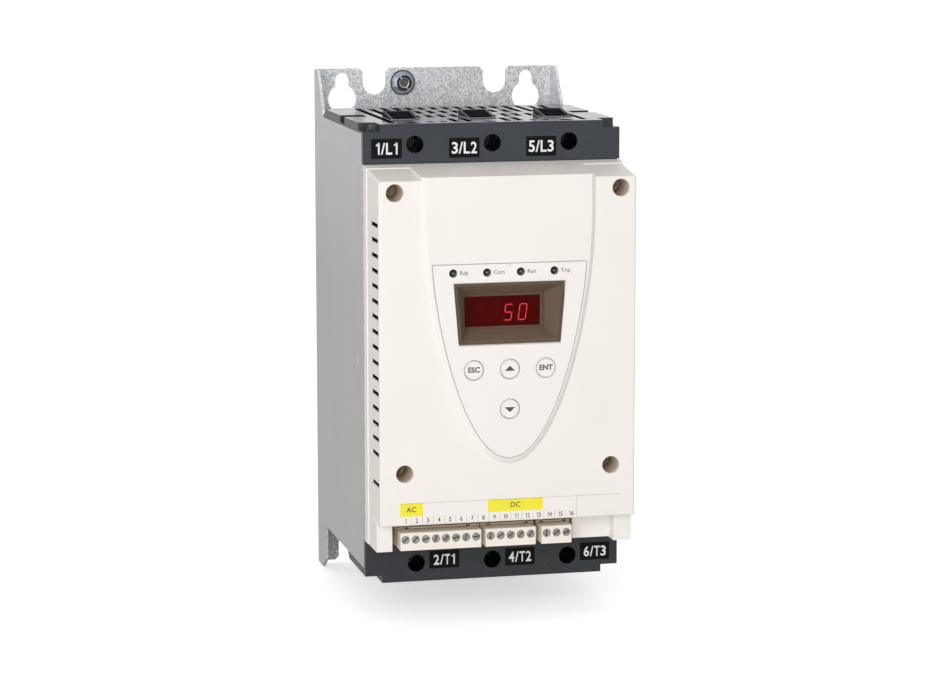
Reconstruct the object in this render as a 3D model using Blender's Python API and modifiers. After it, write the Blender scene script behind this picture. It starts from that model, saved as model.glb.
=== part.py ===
"""A three-phase soft starter: folded sheet chassis, terminal blocks, moulded cover and what they hold.

Metres, +Z up. The origin is the centre of the rear plate's back face, on the wall: +X is to the right
seen from the front, and +Y points into the wall. Depths are measured forward from the wall, so a point
at depth d has Y = -d. Heights are measured from the middle of the rear plate.
"""

import math

import bmesh
import bpy
from mathutils import Matrix, Vector

# Whole object
WIDTH = 0.130
PLATE_HEIGHT = 0.265
DEPTH = 0.169
SHEET = 0.0015
GAP = 0.0003
OVERCUT = 0.004
PHASE_SHARE = 0.3

# Chassis
BEND_RADIUS = 0.0022
PANEL_TOP_DROP = 0.0233
PANEL_BOTTOM_RISE = 0.0242
EAR_TIP_DEPTH = 0.0105
EAR_ROOT_DEPTH = 0.0238
EAR_ROOT_HEIGHT = 0.004
FOOT_TIP_DEPTH = 0.015
FOOT_DEPTH = 0.0235
FOOT_CHAMFER = 0.0055
FIXING_INSET = 0.015
FIXING_EDGE = 0.006
FIXING_LOW_EDGE = 0.009
SLOT_RADIUS = 0.0037
KEYHOLE_RADIUS = 0.0076
KEYHOLE_DROP = 0.010
NOTCH_OFFSET = 0.0173
NOTCH_WIDTH = 0.0125
NOTCH_DEPTH = 0.014
CHAMFER = 0.002
EARTH_OFFSET = 0.015
EARTH_EDGE = 0.0077
EARTH_SHANK_RADIUS = 0.0025
EARTH_HEAD_RADIUS = 0.0045
EARTH_HEAD_HEIGHT = 0.0038
EARTH_SOCKET_RADIUS = 0.0022
EARTH_SOCKET_DEPTH = 0.0018
EARTH_WASHER_RADIUS = 0.0067
EARTH_WASHER_THICKNESS = 0.0014
SIDE_SCREW_INSET = 0.0119
SIDE_SCREW_HEIGHT = -0.004
SIDE_SCREW_HEAD_RADIUS = 0.0032
SIDE_SCREW_RADIUS = 0.0015
SIDE_SCREW_LENGTH = 0.0036

# Heat sink
SINK_SETBACK = 0.0707
SINK_BASE = 0.008
SINK_END = 0.0395
FIN_COUNT = 15
FIN_THICKNESS = 0.0018

# Thyristor modules
MODULE_MARGIN = 0.009
MODULE_LENGTH = 0.092
MODULE_DEPTH = 0.026
MODULE_FLANGE = 0.010
MODULE_FLANGE_DEPTH = 0.009
MODULE_FLANGE_INSET = 0.003
MODULE_BASE_STEP = 0.0005
MODULE_HOLE_RADIUS = 0.0026
MODULE_STUD_RISE = 0.004
MODULE_STUD_WIDTH = 0.013
MODULE_STUD_INSET = 0.022

# Busbars and cage clamps
BAR_WIDTH = 0.010
BAR_THICKNESS = 0.002
CAGE_WIDTH = 0.014
CAGE_HEIGHT = 0.012
CAGE_DEPTH = 0.019
CAGE_WALL = 0.0016
CLAMP_SCREW_RADIUS = 0.0025
CLAMP_SCREW_HEAD_RADIUS = 0.004
CLAMP_SCREW_HEAD = 0.004
CLAMP_SCREW_REACH = 0.004
CLAMP_SLIT_DEPTH = 0.0014
CLAMP_SLIT = 0.0012

# Current transformers
CORE_OUTER = 0.0115
CORE_LENGTH = 0.011
CORE_RISE = 0.0336
CORE_CLEARANCE = 0.003

# Terminal blocks
COVER_DEPTH = 0.0365
SEAM_DEPTH = 0.004
BLOCK_REAR = 0.030
BLOCK_WALL = 0.0025
BLOCK_LAP = 0.0005
LIP_INSET = 0.0086
CORNER_NOTCH = 0.0121
SNAP_SETBACK = 0.0585
SNAP_WIDTH = 0.0115
SNAP_REACH = 0.0115
SNAP_FLOOR = 0.0007
REAR_CHAMFER = 0.006
REAR_SLOPE = 0.010
FOOT_LENGTH = 0.050
FOOT_SLOPE = 0.004
SKIRT_DROP = 0.009
ACCESS_RADIUS = 0.00445
ACCESS_WALL = 0.0016
ENTRY_SHARE = 0.2974
ENTRY_LENGTH = 0.019
COLLAR_WALL = 0.0015
COLLAR_RISE = 0.003
BARRIER = 0.002
SLOTS_ACROSS = 20
SLOT_WIDTH = 0.0032
ROW_EDGE = 0.004
ROW_RIB = 0.007
ROW_STOP = 0.0177
NEAR_ROW_SETBACK = 0.0087
NEAR_ROW_LENGTH = 0.016
FRONT_ROW_SETBACK = 0.0255
SHORT_ROW_SETBACK = 0.011
ROW_FRONT_EDGE = 0.006
ENTRY_SLOT_EDGE = 0.009
ENTRY_SLOT_STOP = 0.0047
EDGE_SLOT_EDGE = 0.005
FINGER_RADIUS = 0.0038
FINGER_SETBACK = 0.0018
FINGER_SINK = 0.0014
TOP_DECK_RISE = 0.0046
TOP_SHOULDER_RISE = 0.0010
TOP_SEAM_DROP = 0.0148
TOP_ACCESS_DROP = 0.0056
BOTTOM_DECK_RISE = 0.0071
BOTTOM_SHOULDER_RISE = 0.0034
BOTTOM_SEAM_DROP = 0.0143
BOTTOM_ACCESS_DROP = 0.0022

# Mounting tray
TRAY_THICKNESS = 0.0026
TRAY_INSET = 0.001
POST_RADIUS = 0.0035
POST_INSET = 0.013
POST_MARGIN = 0.009
CONTROL_POST_DROP = 0.006
CONTROL_POST_RISE = 0.026
LUG_REACH = 0.020
LUG_HEIGHT = 0.020
LUG_THICKNESS = 0.0030

# Boards
BOARD_THICKNESS = 0.0016
POWER_BOARD_SETBACK = 0.0326
POWER_BOARD_MARGIN = 0.012
RELAY_MARGIN = 0.010
RELAY_HEIGHT = 0.040
RELAY_DEPTH = 0.024
SUPPRESSOR = (0.022, 0.014, 0.012)
RESISTOR = (0.010, 0.012, 0.006)
COMPONENT_GAP = 0.003
CONTROL_BOARD_MARGIN = 0.021
CONTROL_BOARD_TOP = 0.062
CONTROL_BOARD_EDGE = 0.0025
CONTROL_STANDOFF = 0.004
SWITCH_SIZE = 0.006
SWITCH_HEIGHT = 0.005
PROCESSOR = (0.014, 0.014, 0.0015)
PROCESSOR_Z = -0.023
DRIVER = (0.010, 0.014, 0.003)
DRIVER_Z = -0.029
SUPPLY = (0.032, 0.012, 0.008)
SUPPLY_RISE = 0.0282

# Front cover
SHIELD_RISE = 0.0025
COVER_WALL = 0.0025
COVER_REAR_BAND = 0.0075
COVER_STEP = 0.0004
COVER_TAPER = 0.0004
COVER_TOP_DROP = 0.0046
COVER_BOTTOM_RISE = 0.0144
COVER_EDGE_RADIUS = 0.0012
LEG_RISE = 0.0005
LEFT_LEG_WIDTH = 0.0082
RIGHT_LEG_WIDTH = 0.0095
LEG_SETBACK = 0.0072
SOCKET_BAY_INSET = 0.0285
SOCKET_BAY_SETBACK = 0.0153
SHIELD_INSET = 0.0218
SHIELD_SHOULDER = 0.066
SHIELD_TIP = -0.0510
SHIELD_POWER = 1.6
SHIELD_CHAMFER = 0.0022
SHIELD_TOP_DROP = 0.0032
OVERLAY_MARGIN = 0.0047
OVERLAY_TOP = 0.0484
OVERLAY_TIP = -0.0477
OVERLAY_POWER = 1.4
OVERLAY_THICKNESS = 0.0006
OUTLINE_STEPS = 12
VENT_TOP_DROP = 0.0268
VENT_FOOT = 0.0276
VENT_PITCH = 0.00747
VENT_HEIGHT = 0.0021
VENT_REAR_INSET = 0.0155
VENT_FRONT_INSET = 0.0023
TOP_WELL_INSET = 0.0087
TOP_WELL_DROP = 0.0109
BOTTOM_WELL_INSET = 0.0131
BOTTOM_WELL_RISE = 0.0259
WELL_RADIUS = 0.0044
WELL_FLOOR_RADIUS = 0.0034
WELL_WALL = 0.0014
WELL_FLOOR_RISE = 0.0175
SCREW_RADIUS = 0.0017
SCREW_HEAD_RADIUS = 0.0029
SCREW_HEAD_HEIGHT = 0.0026
SCREW_SLIT = 0.0004
SCREW_SLIT_DEPTH = 0.0012

# Display and lamps
WINDOW_TOP = 0.0388
WINDOW_BOTTOM = 0.0090
WINDOW_TOP_INSET = 0.0110
WINDOW_BOTTOM_INSET = 0.0136
WINDOW_LEDGE = 0.0012
WINDOW_THICKNESS = 0.0010
FUNNEL_WALL = 0.0014
DISPLAY_INSET = 0.0085
DISPLAY_HEIGHT = 0.0150
DISPLAY_MIDDLE = 0.0235
DISPLAY_SETBACK = 0.0120
DISPLAY_MARGIN = 0.0035
DISPLAY_CLEARANCE = 0.0013
LAMP_SHARES = (-0.7325, -0.2961, 0.1403, 0.5766)
LAMP_Z = 0.0442
LAMP_RADIUS = 0.0015
LENS_SINK = 0.0002

# Buttons
BUTTON_SHARE = 0.4675
BUTTON_ROW = -0.0035
BUTTON_DROP = 0.0196
BUTTON_RADIUS = 0.0048
BUTTON_TRAVEL = 0.0006
BUTTON_STEM_RADIUS = 0.0020
BUTTON_FLANGE = 0.0010
BUTTON_FLANGE_THICKNESS = 0.0008

# Control terminals
WAY_SHARE = 0.05445
PLUG_MIDDLES = {8: 4.807, 5: 11.752, 3: 16.358}
PLUG_SETBACK = 0.007
PLUG_TOP_RISE = 0.0098
PLUG_BOTTOM_RISE = 0.0006
PLUG_BODY = 0.0098
PLUG_NOSE = 0.0060
PLUG_NOSE_INSET = 0.0018
PLUG_NOSE_SIDE = 0.0006
PLUG_SCREW_RISE = 0.0008
PLUG_SCREW_SHARE = 0.335
PLUG_WELL_SHARE = 0.413
PLUG_WELL_DEPTH = 0.0012
PLUG_SCREW_SINK = 0.0004
WIRE_SHARE = 0.67
WIRE_DEPTH = 0.0042
WIRE_HEIGHT = 0.004
HEADER_WALL = 0.0009
HEADER_SIDE = 0.0008
HEADER_KEY = 0.0016
HEADER_KEY_WIDTH = 0.0018
SOCKET_WIDTH = 0.0158
SOCKET_DEPTH = 0.0095
SOCKET_LENGTH = 0.0140
SOCKET_MOUTH = 0.0118
SOCKET_MOUTH_HEIGHT = 0.0070
SOCKET_WALL = 0.0015
SOCKET_OVERHANG = 0.001

# Widths
HALF_WIDTH = WIDTH / 2
PHASE_PITCH = WIDTH * PHASE_SHARE
PHASES = (-PHASE_PITCH, 0.0, PHASE_PITCH)
FIXING_SPREAD = WIDTH - 2 * FIXING_INSET
NOTCH_SPREAD = FIXING_SPREAD - 2 * NOTCH_OFFSET
EARTH_X = EARTH_OFFSET - NOTCH_SPREAD / 2
MODULE_WIDTH = PHASE_PITCH - MODULE_MARGIN
LIP_HALF = HALF_WIDTH - LIP_INSET
ENTRY_WIDTH = PHASE_PITCH * ENTRY_SHARE
SLOT_PITCH = WIDTH / SLOTS_ACROSS
POST_X = HALF_WIDTH - POST_INSET
POWER_BOARD_WIDTH = WIDTH - POWER_BOARD_MARGIN
RELAY_WIDTH = PHASE_PITCH - RELAY_MARGIN
CONTROL_BOARD_WIDTH = WIDTH - CONTROL_BOARD_MARGIN
SHIELD_HALF = HALF_WIDTH - SHIELD_INSET
OVERLAY_HALF = SHIELD_HALF - OVERLAY_MARGIN
WINDOW_TOP_HALF = OVERLAY_HALF - WINDOW_TOP_INSET
WINDOW_BOTTOM_HALF = OVERLAY_HALF - WINDOW_BOTTOM_INSET
DISPLAY_HALF = WINDOW_TOP_HALF - DISPLAY_INSET
LAMP_X = tuple(share * OVERLAY_HALF for share in LAMP_SHARES)
BUTTON_PITCH = BUTTON_SHARE * OVERLAY_HALF
TOP_WELL_X = HALF_WIDTH - TOP_WELL_INSET
BOTTOM_WELL_X = HALF_WIDTH - BOTTOM_WELL_INSET
LEFT_LEG_INNER = LEFT_LEG_WIDTH - HALF_WIDTH
RIGHT_LEG_INNER = HALF_WIDTH - RIGHT_LEG_WIDTH
SOCKET_BAY_LEFT = HALF_WIDTH - SOCKET_BAY_INSET
WAY_PITCH = (SOCKET_BAY_LEFT - LEFT_LEG_INNER) * WAY_SHARE
PLUG_CENTRES = {ways: LEFT_LEG_INNER + middle * WAY_PITCH for ways, middle in PLUG_MIDDLES.items()}

# Heights
HALF_PLATE = PLATE_HEIGHT / 2
PANEL_TOP = HALF_PLATE - PANEL_TOP_DROP
PANEL_BOTTOM = HALF_PLATE - PANEL_BOTTOM_RISE
FIXING_TOP = HALF_PLATE - FIXING_EDGE
FIXING_BOTTOM = FIXING_LOW_EDGE - HALF_PLATE
SINK_HEIGHT = PLATE_HEIGHT - 2 * SINK_END
TOP_DECK = PANEL_TOP + TOP_DECK_RISE
TOP_SHOULDER = PANEL_TOP + TOP_SHOULDER_RISE
TOP_SEAM = PANEL_TOP - TOP_SEAM_DROP
TOP_ACCESS = PANEL_TOP - TOP_ACCESS_DROP
BOTTOM_DECK = PANEL_BOTTOM + BOTTOM_DECK_RISE
BOTTOM_SHOULDER = PANEL_BOTTOM + BOTTOM_SHOULDER_RISE
BOTTOM_SEAM = PANEL_BOTTOM - BOTTOM_SEAM_DROP
BOTTOM_ACCESS = PANEL_BOTTOM - BOTTOM_ACCESS_DROP
CORE_HEIGHT = CORE_RISE - BOTTOM_ACCESS
POWER_BOARD_HEIGHT = 2 * (-CORE_HEIGHT - CORE_LENGTH / 2 - CORE_CLEARANCE)
POST_Z = POWER_BOARD_HEIGHT / 2 - POST_MARGIN
CONTROL_BOARD_BOTTOM = CONTROL_BOARD_EDGE - BOTTOM_SEAM
COVER_TOP = TOP_SEAM - GAP
COVER_BOTTOM = COVER_BOTTOM_RISE - BOTTOM_SEAM
LEG_BOTTOM = LEG_RISE - BOTTOM_SEAM
VENT_TOP = TOP_SEAM - VENT_TOP_DROP
VENT_COUNT = round((VENT_TOP - COVER_BOTTOM - VENT_FOOT) / VENT_PITCH)
TOP_WELL_Z = TOP_SEAM - TOP_WELL_DROP
BOTTOM_WELL_Z = COVER_BOTTOM + BOTTOM_WELL_RISE
PLUG_TOP = PLUG_TOP_RISE - BOTTOM_SEAM
PLUG_BOTTOM = PLUG_BOTTOM_RISE - BOTTOM_SEAM

# Depths
COVER_FACE = DEPTH - SHIELD_RISE
BLOCK_FRONT = DEPTH - COVER_DEPTH
PANEL_DEPTH = BLOCK_FRONT - SEAM_DEPTH
SIDE_SCREW_DEPTH = PANEL_DEPTH - SIDE_SCREW_INSET
SINK_FRONT = PANEL_DEPTH - SINK_SETBACK
FIN_DEPTH = SINK_FRONT - SINK_BASE - SHEET - GAP
MODULE_REAR = SINK_FRONT + GAP
MODULE_FRONT = MODULE_REAR + MODULE_DEPTH
BAR_REAR = MODULE_FRONT + MODULE_STUD_RISE + GAP
BAR_FRONT = BAR_REAR + BAR_THICKNESS
CAGE_REAR = BAR_REAR - GAP - CAGE_WALL
CAGE_FRONT = CAGE_REAR + CAGE_DEPTH
WALL_REAR = PANEL_DEPTH + GAP
CORNER_NOTCH_REAR = BLOCK_FRONT - CORNER_NOTCH
SNAP_DEPTH = BLOCK_FRONT - SNAP_SETBACK
FOOT_REAR = BLOCK_FRONT - FOOT_LENGTH
ENTRY_REAR = BAR_FRONT + GAP
ENTRY_FRONT = ENTRY_REAR + ENTRY_LENGTH
TRAY_FRONT = BLOCK_FRONT - GAP
TRAY_REAR = TRAY_FRONT - TRAY_THICKNESS
POWER_BOARD_DEPTH = TRAY_REAR - POWER_BOARD_SETBACK
POWER_BOARD_FRONT = POWER_BOARD_DEPTH + BOARD_THICKNESS
CONTROL_BOARD_REAR = TRAY_FRONT + CONTROL_STANDOFF + GAP
CONTROL_BOARD_FRONT = CONTROL_BOARD_REAR + BOARD_THICKNESS
COVER_REAR = BLOCK_FRONT
COVER_INNER_FACE = COVER_FACE - COVER_WALL
LEG_DEPTH = COVER_FACE - LEG_SETBACK
SOCKET_BAY_DEPTH = COVER_FACE - SOCKET_BAY_SETBACK
VENT_REAR = COVER_REAR + VENT_REAR_INSET
VENT_FRONT = COVER_FACE - VENT_FRONT_INSET
WELL_FLOOR_DEPTH = COVER_REAR + WELL_FLOOR_RISE
DISPLAY_DEPTH = DEPTH - DISPLAY_SETBACK
PLUG_FACE = COVER_FACE - PLUG_SETBACK

BUTTONS = {
    "button_escape": (-BUTTON_PITCH, BUTTON_ROW),
    "button_up": (0.0, BUTTON_ROW),
    "button_enter": (BUTTON_PITCH, BUTTON_ROW),
    "button_down": (0.0, BUTTON_ROW - BUTTON_DROP),
}
WELLS = (
    (-TOP_WELL_X, TOP_WELL_Z),
    (TOP_WELL_X, TOP_WELL_Z),
    (-BOTTOM_WELL_X, BOTTOM_WELL_Z),
    (BOTTOM_WELL_X, BOTTOM_WELL_Z),
)


def clear_scene():
    for obj in list(bpy.data.objects):
        bpy.data.objects.remove(obj, do_unlink=True)


def new_collection(name):
    collection = bpy.data.collections.new(name)
    bpy.context.scene.collection.children.link(collection)
    return collection


def finish(name, color, roughness, metallic=0.0, alpha=1.0):
    """A Principled material with the piece's own colour."""
    material = bpy.data.materials.new(name)
    material.use_nodes = True
    shader = material.node_tree.nodes["Principled BSDF"]
    shader.inputs["Base Color"].default_value = (*color, 1.0)
    shader.inputs["Roughness"].default_value = roughness
    shader.inputs["Metallic"].default_value = metallic
    shader.inputs["Alpha"].default_value = alpha
    return material


clear_scene()
PARTS = new_collection("soft_starter")
TOOLS = new_collection("cutters")

ZINC = finish("zinc", (0.62, 0.64, 0.65), 0.4, 1.0)
STEEL = finish("steel", (0.55, 0.56, 0.58), 0.3, 1.0)
ALUMINIUM = finish("aluminium", (0.70, 0.71, 0.72), 0.45, 1.0)
COPPER = finish("copper", (0.75, 0.42, 0.28), 0.35, 1.0)
SLATE = finish("slate_plastic", (0.045, 0.052, 0.062), 0.5)
DARK = finish("dark_plastic", (0.02, 0.02, 0.024), 0.5)
PALE = finish("pale_plastic", (0.87, 0.85, 0.80), 0.5)
FILM = finish("keypad_film", (0.88, 0.87, 0.83), 0.4)
CREAM = finish("terminal_plastic", (0.84, 0.78, 0.66), 0.5)
BOARD = finish("board", (0.03, 0.20, 0.09), 0.5)
RELAY = finish("relay_case", (0.05, 0.16, 0.45), 0.45)
RED = finish("display_red", (0.15, 0.0, 0.0), 0.3)
SMOKE = finish("smoked_window", (0.10, 0.08, 0.06), 0.1, 0.0, 0.4)
LAMP = finish("lamp", (0.03, 0.03, 0.03), 0.2)


def place(name, bm, material, collection=PARTS):
    """Turns a bmesh into an object in the collection."""
    mesh = bpy.data.meshes.new(name)
    bm.to_mesh(mesh)
    bm.free()
    obj = bpy.data.objects.new(name, mesh)
    collection.objects.link(obj)
    if material:
        mesh.materials.append(material)
    return obj


def smooth(obj, angle=35.0):
    obj.data.shade_smooth()
    obj.data.set_sharp_from_angle(angle=math.radians(angle))
    return obj


def set_origin(obj, point):
    """Moves the object's origin to the point, with the mesh left where it is."""
    obj.data.transform(Matrix.Translation(-Vector(point)))
    obj.location = point
    return obj


def box(bm, x, depth, z):
    """Adds a box between pairs of X, depth and Z, and gives its vertices."""
    low = Vector((min(x), -max(depth), min(z)))
    high = Vector((max(x), -min(depth), max(z)))
    matrix = Matrix.LocRotScale((low + high) / 2, None, high - low)
    return bmesh.ops.create_cube(bm, size=1.0, matrix=matrix)["verts"]


def box_object(name, x, depth, z, material, collection=PARTS):
    bm = bmesh.new()
    box(bm, x, depth, z)
    return place(name, bm, material, collection)


def rod(bm, x, z, depths, radius, front_radius=None, segments=24):
    """Adds a rod or cone along the depth, from the first depth to the second."""
    rear, front = depths
    turn = Matrix.Rotation(math.radians(90), 4, "X")
    middle = Vector((x, -(rear + front) / 2, z))
    bmesh.ops.create_cone(
        bm,
        cap_ends=True,
        segments=segments,
        radius1=radius,
        radius2=radius if front_radius is None else front_radius,
        depth=front - rear,
        matrix=Matrix.Translation(middle) @ turn,
    )


def cross_rod(bm, x_pair, depth, z, radius, outer_radius=None, segments=20):
    """Adds a rod or cone along X, from the first X to the second."""
    start, end = x_pair
    turn = Matrix.Rotation(math.radians(90), 4, "Y")
    middle = Vector(((start + end) / 2, -depth, z))
    bmesh.ops.create_cone(
        bm,
        cap_ends=True,
        segments=segments,
        radius1=radius,
        radius2=radius if outer_radius is None else outer_radius,
        depth=end - start,
        matrix=Matrix.Translation(middle) @ turn,
    )


def combine(target, bm, operation="DIFFERENCE"):
    """Cuts a bmesh from the object, or joins it on, with a Boolean."""
    name = f"{target.name}_{operation.lower()}_{len(target.modifiers)}"
    tool = place(name, bm, None, TOOLS)
    tool.hide_render = True
    tool.display_type = "WIRE"
    modifier = target.modifiers.new(name, "BOOLEAN")
    modifier.operation = operation
    modifier.object = tool
    return tool


def join_boxes(target, boxes):
    """Joins boxes on, one by one, each given as (X pair, depth pair, Z pair)."""
    for x, depth, z in boxes:
        bm = bmesh.new()
        box(bm, x, depth, z)
        combine(target, bm, "UNION")


def cut_boxes(target, boxes):
    """Cuts boxes that don't touch each other away, in one Boolean."""
    bm = bmesh.new()
    for x, depth, z in boxes:
        box(bm, x, depth, z)
    combine(target, bm)


def bevel(obj, width, segments=2, angle=40.0):
    modifier = obj.modifiers.new("edges", "BEVEL")
    modifier.width = width
    modifier.segments = segments
    modifier.limit_method = "ANGLE"
    modifier.angle_limit = math.radians(angle)
    return modifier


def slab(name, loops, thickness, matrix):
    """A flat outline with holes, as a closed bmesh: a filled 2D curve made a mesh, then welded."""
    curve = bpy.data.curves.new(name, "CURVE")
    curve.dimensions = "2D"
    curve.fill_mode = "BOTH"
    curve.extrude = thickness / 2
    for loop in loops:
        spline = curve.splines.new("POLY")
        spline.points.add(len(loop) - 1)
        for point, (u, v) in zip(spline.points, loop):
            point.co = (u, v, 0.0, 1.0)
        spline.use_cyclic_u = True
    outline = bpy.data.objects.new(name, curve)
    TOOLS.objects.link(outline)
    outline.matrix_world = matrix
    bpy.context.view_layer.update()
    graph = bpy.context.evaluated_depsgraph_get()
    mesh = bpy.data.meshes.new_from_object(outline.evaluated_get(graph))
    bm = bmesh.new()
    bm.from_mesh(mesh)
    bmesh.ops.remove_doubles(bm, verts=bm.verts, dist=1e-6)
    bmesh.ops.transform(bm, matrix=outline.matrix_world, verts=bm.verts)
    bmesh.ops.recalc_face_normals(bm, faces=bm.faces)
    bpy.data.objects.remove(outline)
    bpy.data.meshes.remove(mesh)
    return bm


def facing(rear, front):
    """Places an outline drawn in X and Z between two depths."""
    return Matrix.Translation((0, -(rear + front) / 2, 0)) @ Matrix.Rotation(math.radians(90), 4, "X")


def lying(low, high):
    """Places an outline drawn in X and Y between two heights."""
    return Matrix.Translation((0, 0, (low + high) / 2))


def sideways(start, end):
    """Places an outline drawn as (depth, Z) between two X, with its first axis along the depth."""
    axes = Matrix(((0, 0, 1, 0), (-1, 0, 0, 0), (0, 1, 0, 0), (0, 0, 0, 1)))
    return Matrix.Translation(((start + end) / 2, 0, 0)) @ axes


def arc(centre, radius, start, end, steps):
    """Points of an arc, with angles in degrees."""
    angles = [math.radians(start + (end - start) * i / steps) for i in range(steps + 1)]
    return [(centre[0] + radius * math.cos(a), centre[1] + radius * math.sin(a)) for a in angles]


def mirror_points(points):
    """Closes a half outline with its mirror image across X = 0."""
    return points + [(-x, z) for x, z in reversed(points) if x > 1e-9]


def keyhole(x):
    """A round hole with a narrow slot above it, whose round end is the fixing point."""
    low = FIXING_TOP - KEYHOLE_DROP
    meet = math.degrees(math.acos(SLOT_RADIUS / KEYHOLE_RADIUS))
    outline = arc((x, FIXING_TOP), SLOT_RADIUS, 0, 180, 8)
    outline += arc((x, low), KEYHOLE_RADIUS, 180 - meet, 360 + meet, 20)
    return outline


def open_slot(x, end, half, edge, side):
    """A round-ended slot that opens at a plate edge through a chamfered mouth. side is 1 at the top."""
    mouth = half + CHAMFER
    outline = [(x - mouth, edge), (x - half, edge - side * CHAMFER)]
    outline += arc((x, end), half, 180, 180 + side * 180, 10)
    outline += [(x + half, edge - side * CHAMFER), (x + mouth, edge)]
    outline += [(x + mouth, edge + side * OVERCUT), (x - mouth, edge + side * OVERCUT)]
    return outline


def countersink(bm, side, radius, depth):
    """Adds a cone of 45 degrees at a side panel's skin, a little longer than the depth at both ends."""
    spare = 0.0003
    pair = (side * (HALF_WIDTH - depth - spare), side * (HALF_WIDTH + spare))
    radii = (radius - depth - spare, radius + spare)
    if side < 0:
        pair = pair[::-1]
        radii = radii[::-1]
    cross_rod(bm, pair, SIDE_SCREW_DEPTH, SIDE_SCREW_HEIGHT, *radii)


def build_chassis():
    """One folded sheet: the rear plate, its ears and both side panels."""
    inner = BEND_RADIUS - SHEET
    outer_half = [(0.0, 0.0)]
    outer_half += arc((HALF_WIDTH - BEND_RADIUS, -BEND_RADIUS), BEND_RADIUS, 90, 0, 5)
    outer_half.append((HALF_WIDTH, -PANEL_DEPTH))
    outer_half.append((HALF_WIDTH - SHEET, -PANEL_DEPTH))
    outer_half += arc((HALF_WIDTH - BEND_RADIUS, -BEND_RADIUS), inner, 0, 90, 5)
    outer_half.append((0.0, -SHEET))
    fold = outer_half + [(-x, y) for x, y in reversed(outer_half[1:-1])]
    chassis = place(
        "chassis", slab("fold", [fold], PLATE_HEIGHT, lying(-HALF_PLATE, HALF_PLATE)), ZINC
    )
    reach = PANEL_DEPTH + OVERCUT
    over = HALF_PLATE + OVERCUT
    wide = HALF_WIDTH + OVERCUT
    top = [
        (EAR_TIP_DEPTH, over),
        (EAR_TIP_DEPTH, HALF_PLATE),
        (EAR_ROOT_DEPTH, PANEL_TOP + EAR_ROOT_HEIGHT),
        (EAR_ROOT_DEPTH, PANEL_TOP),
        (reach, PANEL_TOP),
        (reach, over),
    ]
    foot = [
        (FOOT_TIP_DEPTH, -over),
        (FOOT_TIP_DEPTH, -HALF_PLATE),
        (FOOT_DEPTH, FOOT_CHAMFER - HALF_PLATE),
        (FOOT_DEPTH, -PANEL_BOTTOM),
        (reach, -PANEL_BOTTOM),
        (reach, -over),
    ]
    combine(chassis, slab("ear_cut", [top], 2 * wide, sideways(-wide, wide)))
    combine(chassis, slab("foot_cut", [foot], 2 * wide, sideways(-wide, wide)))
    holes = []
    for side in (-1, 1):
        x = side * FIXING_SPREAD / 2
        holes.append(keyhole(x))
        holes.append(open_slot(x, FIXING_BOTTOM, SLOT_RADIUS, -HALF_PLATE, -1))
        notch_end = HALF_PLATE - NOTCH_DEPTH + NOTCH_WIDTH / 2
        holes.append(open_slot(side * NOTCH_SPREAD / 2, notch_end, NOTCH_WIDTH / 2, HALF_PLATE, 1))
    combine(chassis, slab("plate_holes", holes, SHEET + 2 * OVERCUT, facing(-OVERCUT, SHEET + OVERCUT)))
    bm = bmesh.new()
    rod(bm, EARTH_X, HALF_PLATE - EARTH_EDGE, (-OVERCUT, SHEET + OVERCUT), EARTH_SHANK_RADIUS + GAP)
    for side in (-1, 1):
        pair = sorted((side * (HALF_WIDTH - SHEET - OVERCUT), side * (HALF_WIDTH + OVERCUT)))
        cross_rod(bm, pair, SIDE_SCREW_DEPTH, SIDE_SCREW_HEIGHT, SIDE_SCREW_RADIUS + GAP)
    combine(chassis, bm)
    bm = bmesh.new()
    for side in (-1, 1):
        countersink(bm, side, SIDE_SCREW_HEAD_RADIUS + GAP, SHEET)
    combine(chassis, bm)
    return chassis


def build_earth_screw():
    """The earth screw through the rear plate, with its serrated washer."""
    z = HALF_PLATE - EARTH_EDGE
    washer_rear = SHEET + GAP
    washer_front = washer_rear + EARTH_WASHER_THICKNESS
    bm = bmesh.new()
    rod(bm, EARTH_X, z, (washer_rear, washer_front), EARTH_WASHER_RADIUS)
    washer = smooth(place("earth_washer", bm, STEEL))
    bm = bmesh.new()
    rod(bm, EARTH_X, z, (0, washer_front + OVERCUT), EARTH_SHANK_RADIUS + GAP)
    combine(washer, bm)
    bm = bmesh.new()
    shank = (GAP, washer_front + GAP + EARTH_HEAD_HEIGHT / 2)
    rod(bm, EARTH_X, z, shank, EARTH_SHANK_RADIUS, segments=12)
    screw = smooth(place("earth_screw", bm, STEEL))
    bm = bmesh.new()
    head_rear = washer_front + GAP
    head_front = head_rear + EARTH_HEAD_HEIGHT
    rod(bm, EARTH_X, z, (head_rear, head_front), EARTH_HEAD_RADIUS, segments=6)
    combine(screw, bm, "UNION")
    bm = bmesh.new()
    socket = (head_front - EARTH_SOCKET_DEPTH, head_front + OVERCUT)
    rod(bm, EARTH_X, z, socket, EARTH_SOCKET_RADIUS, segments=12)
    combine(screw, bm)


def build_side_screws():
    """Countersunk screws, flush with the side panels, that go into the tray's lugs."""
    for side, name in ((-1, "side_screw_left"), (1, "side_screw_right")):
        head_end = HALF_WIDTH - SHEET
        tip = HALF_WIDTH - SIDE_SCREW_LENGTH
        bm = bmesh.new()
        pair = sorted((side * tip, side * (HALF_WIDTH - 0.0002)))
        cross_rod(bm, pair, SIDE_SCREW_DEPTH, SIDE_SCREW_HEIGHT, SIDE_SCREW_RADIUS, segments=10)
        screw = smooth(place(name, bm, STEEL))
        bm = bmesh.new()
        wide = SIDE_SCREW_HEAD_RADIUS
        narrow = wide - SHEET
        radii = (narrow, wide) if side > 0 else (wide, narrow)
        pair = sorted((side * head_end, side * HALF_WIDTH))
        cross_rod(bm, pair, SIDE_SCREW_DEPTH, SIDE_SCREW_HEIGHT, *radii)
        combine(screw, bm, "UNION")


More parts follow.
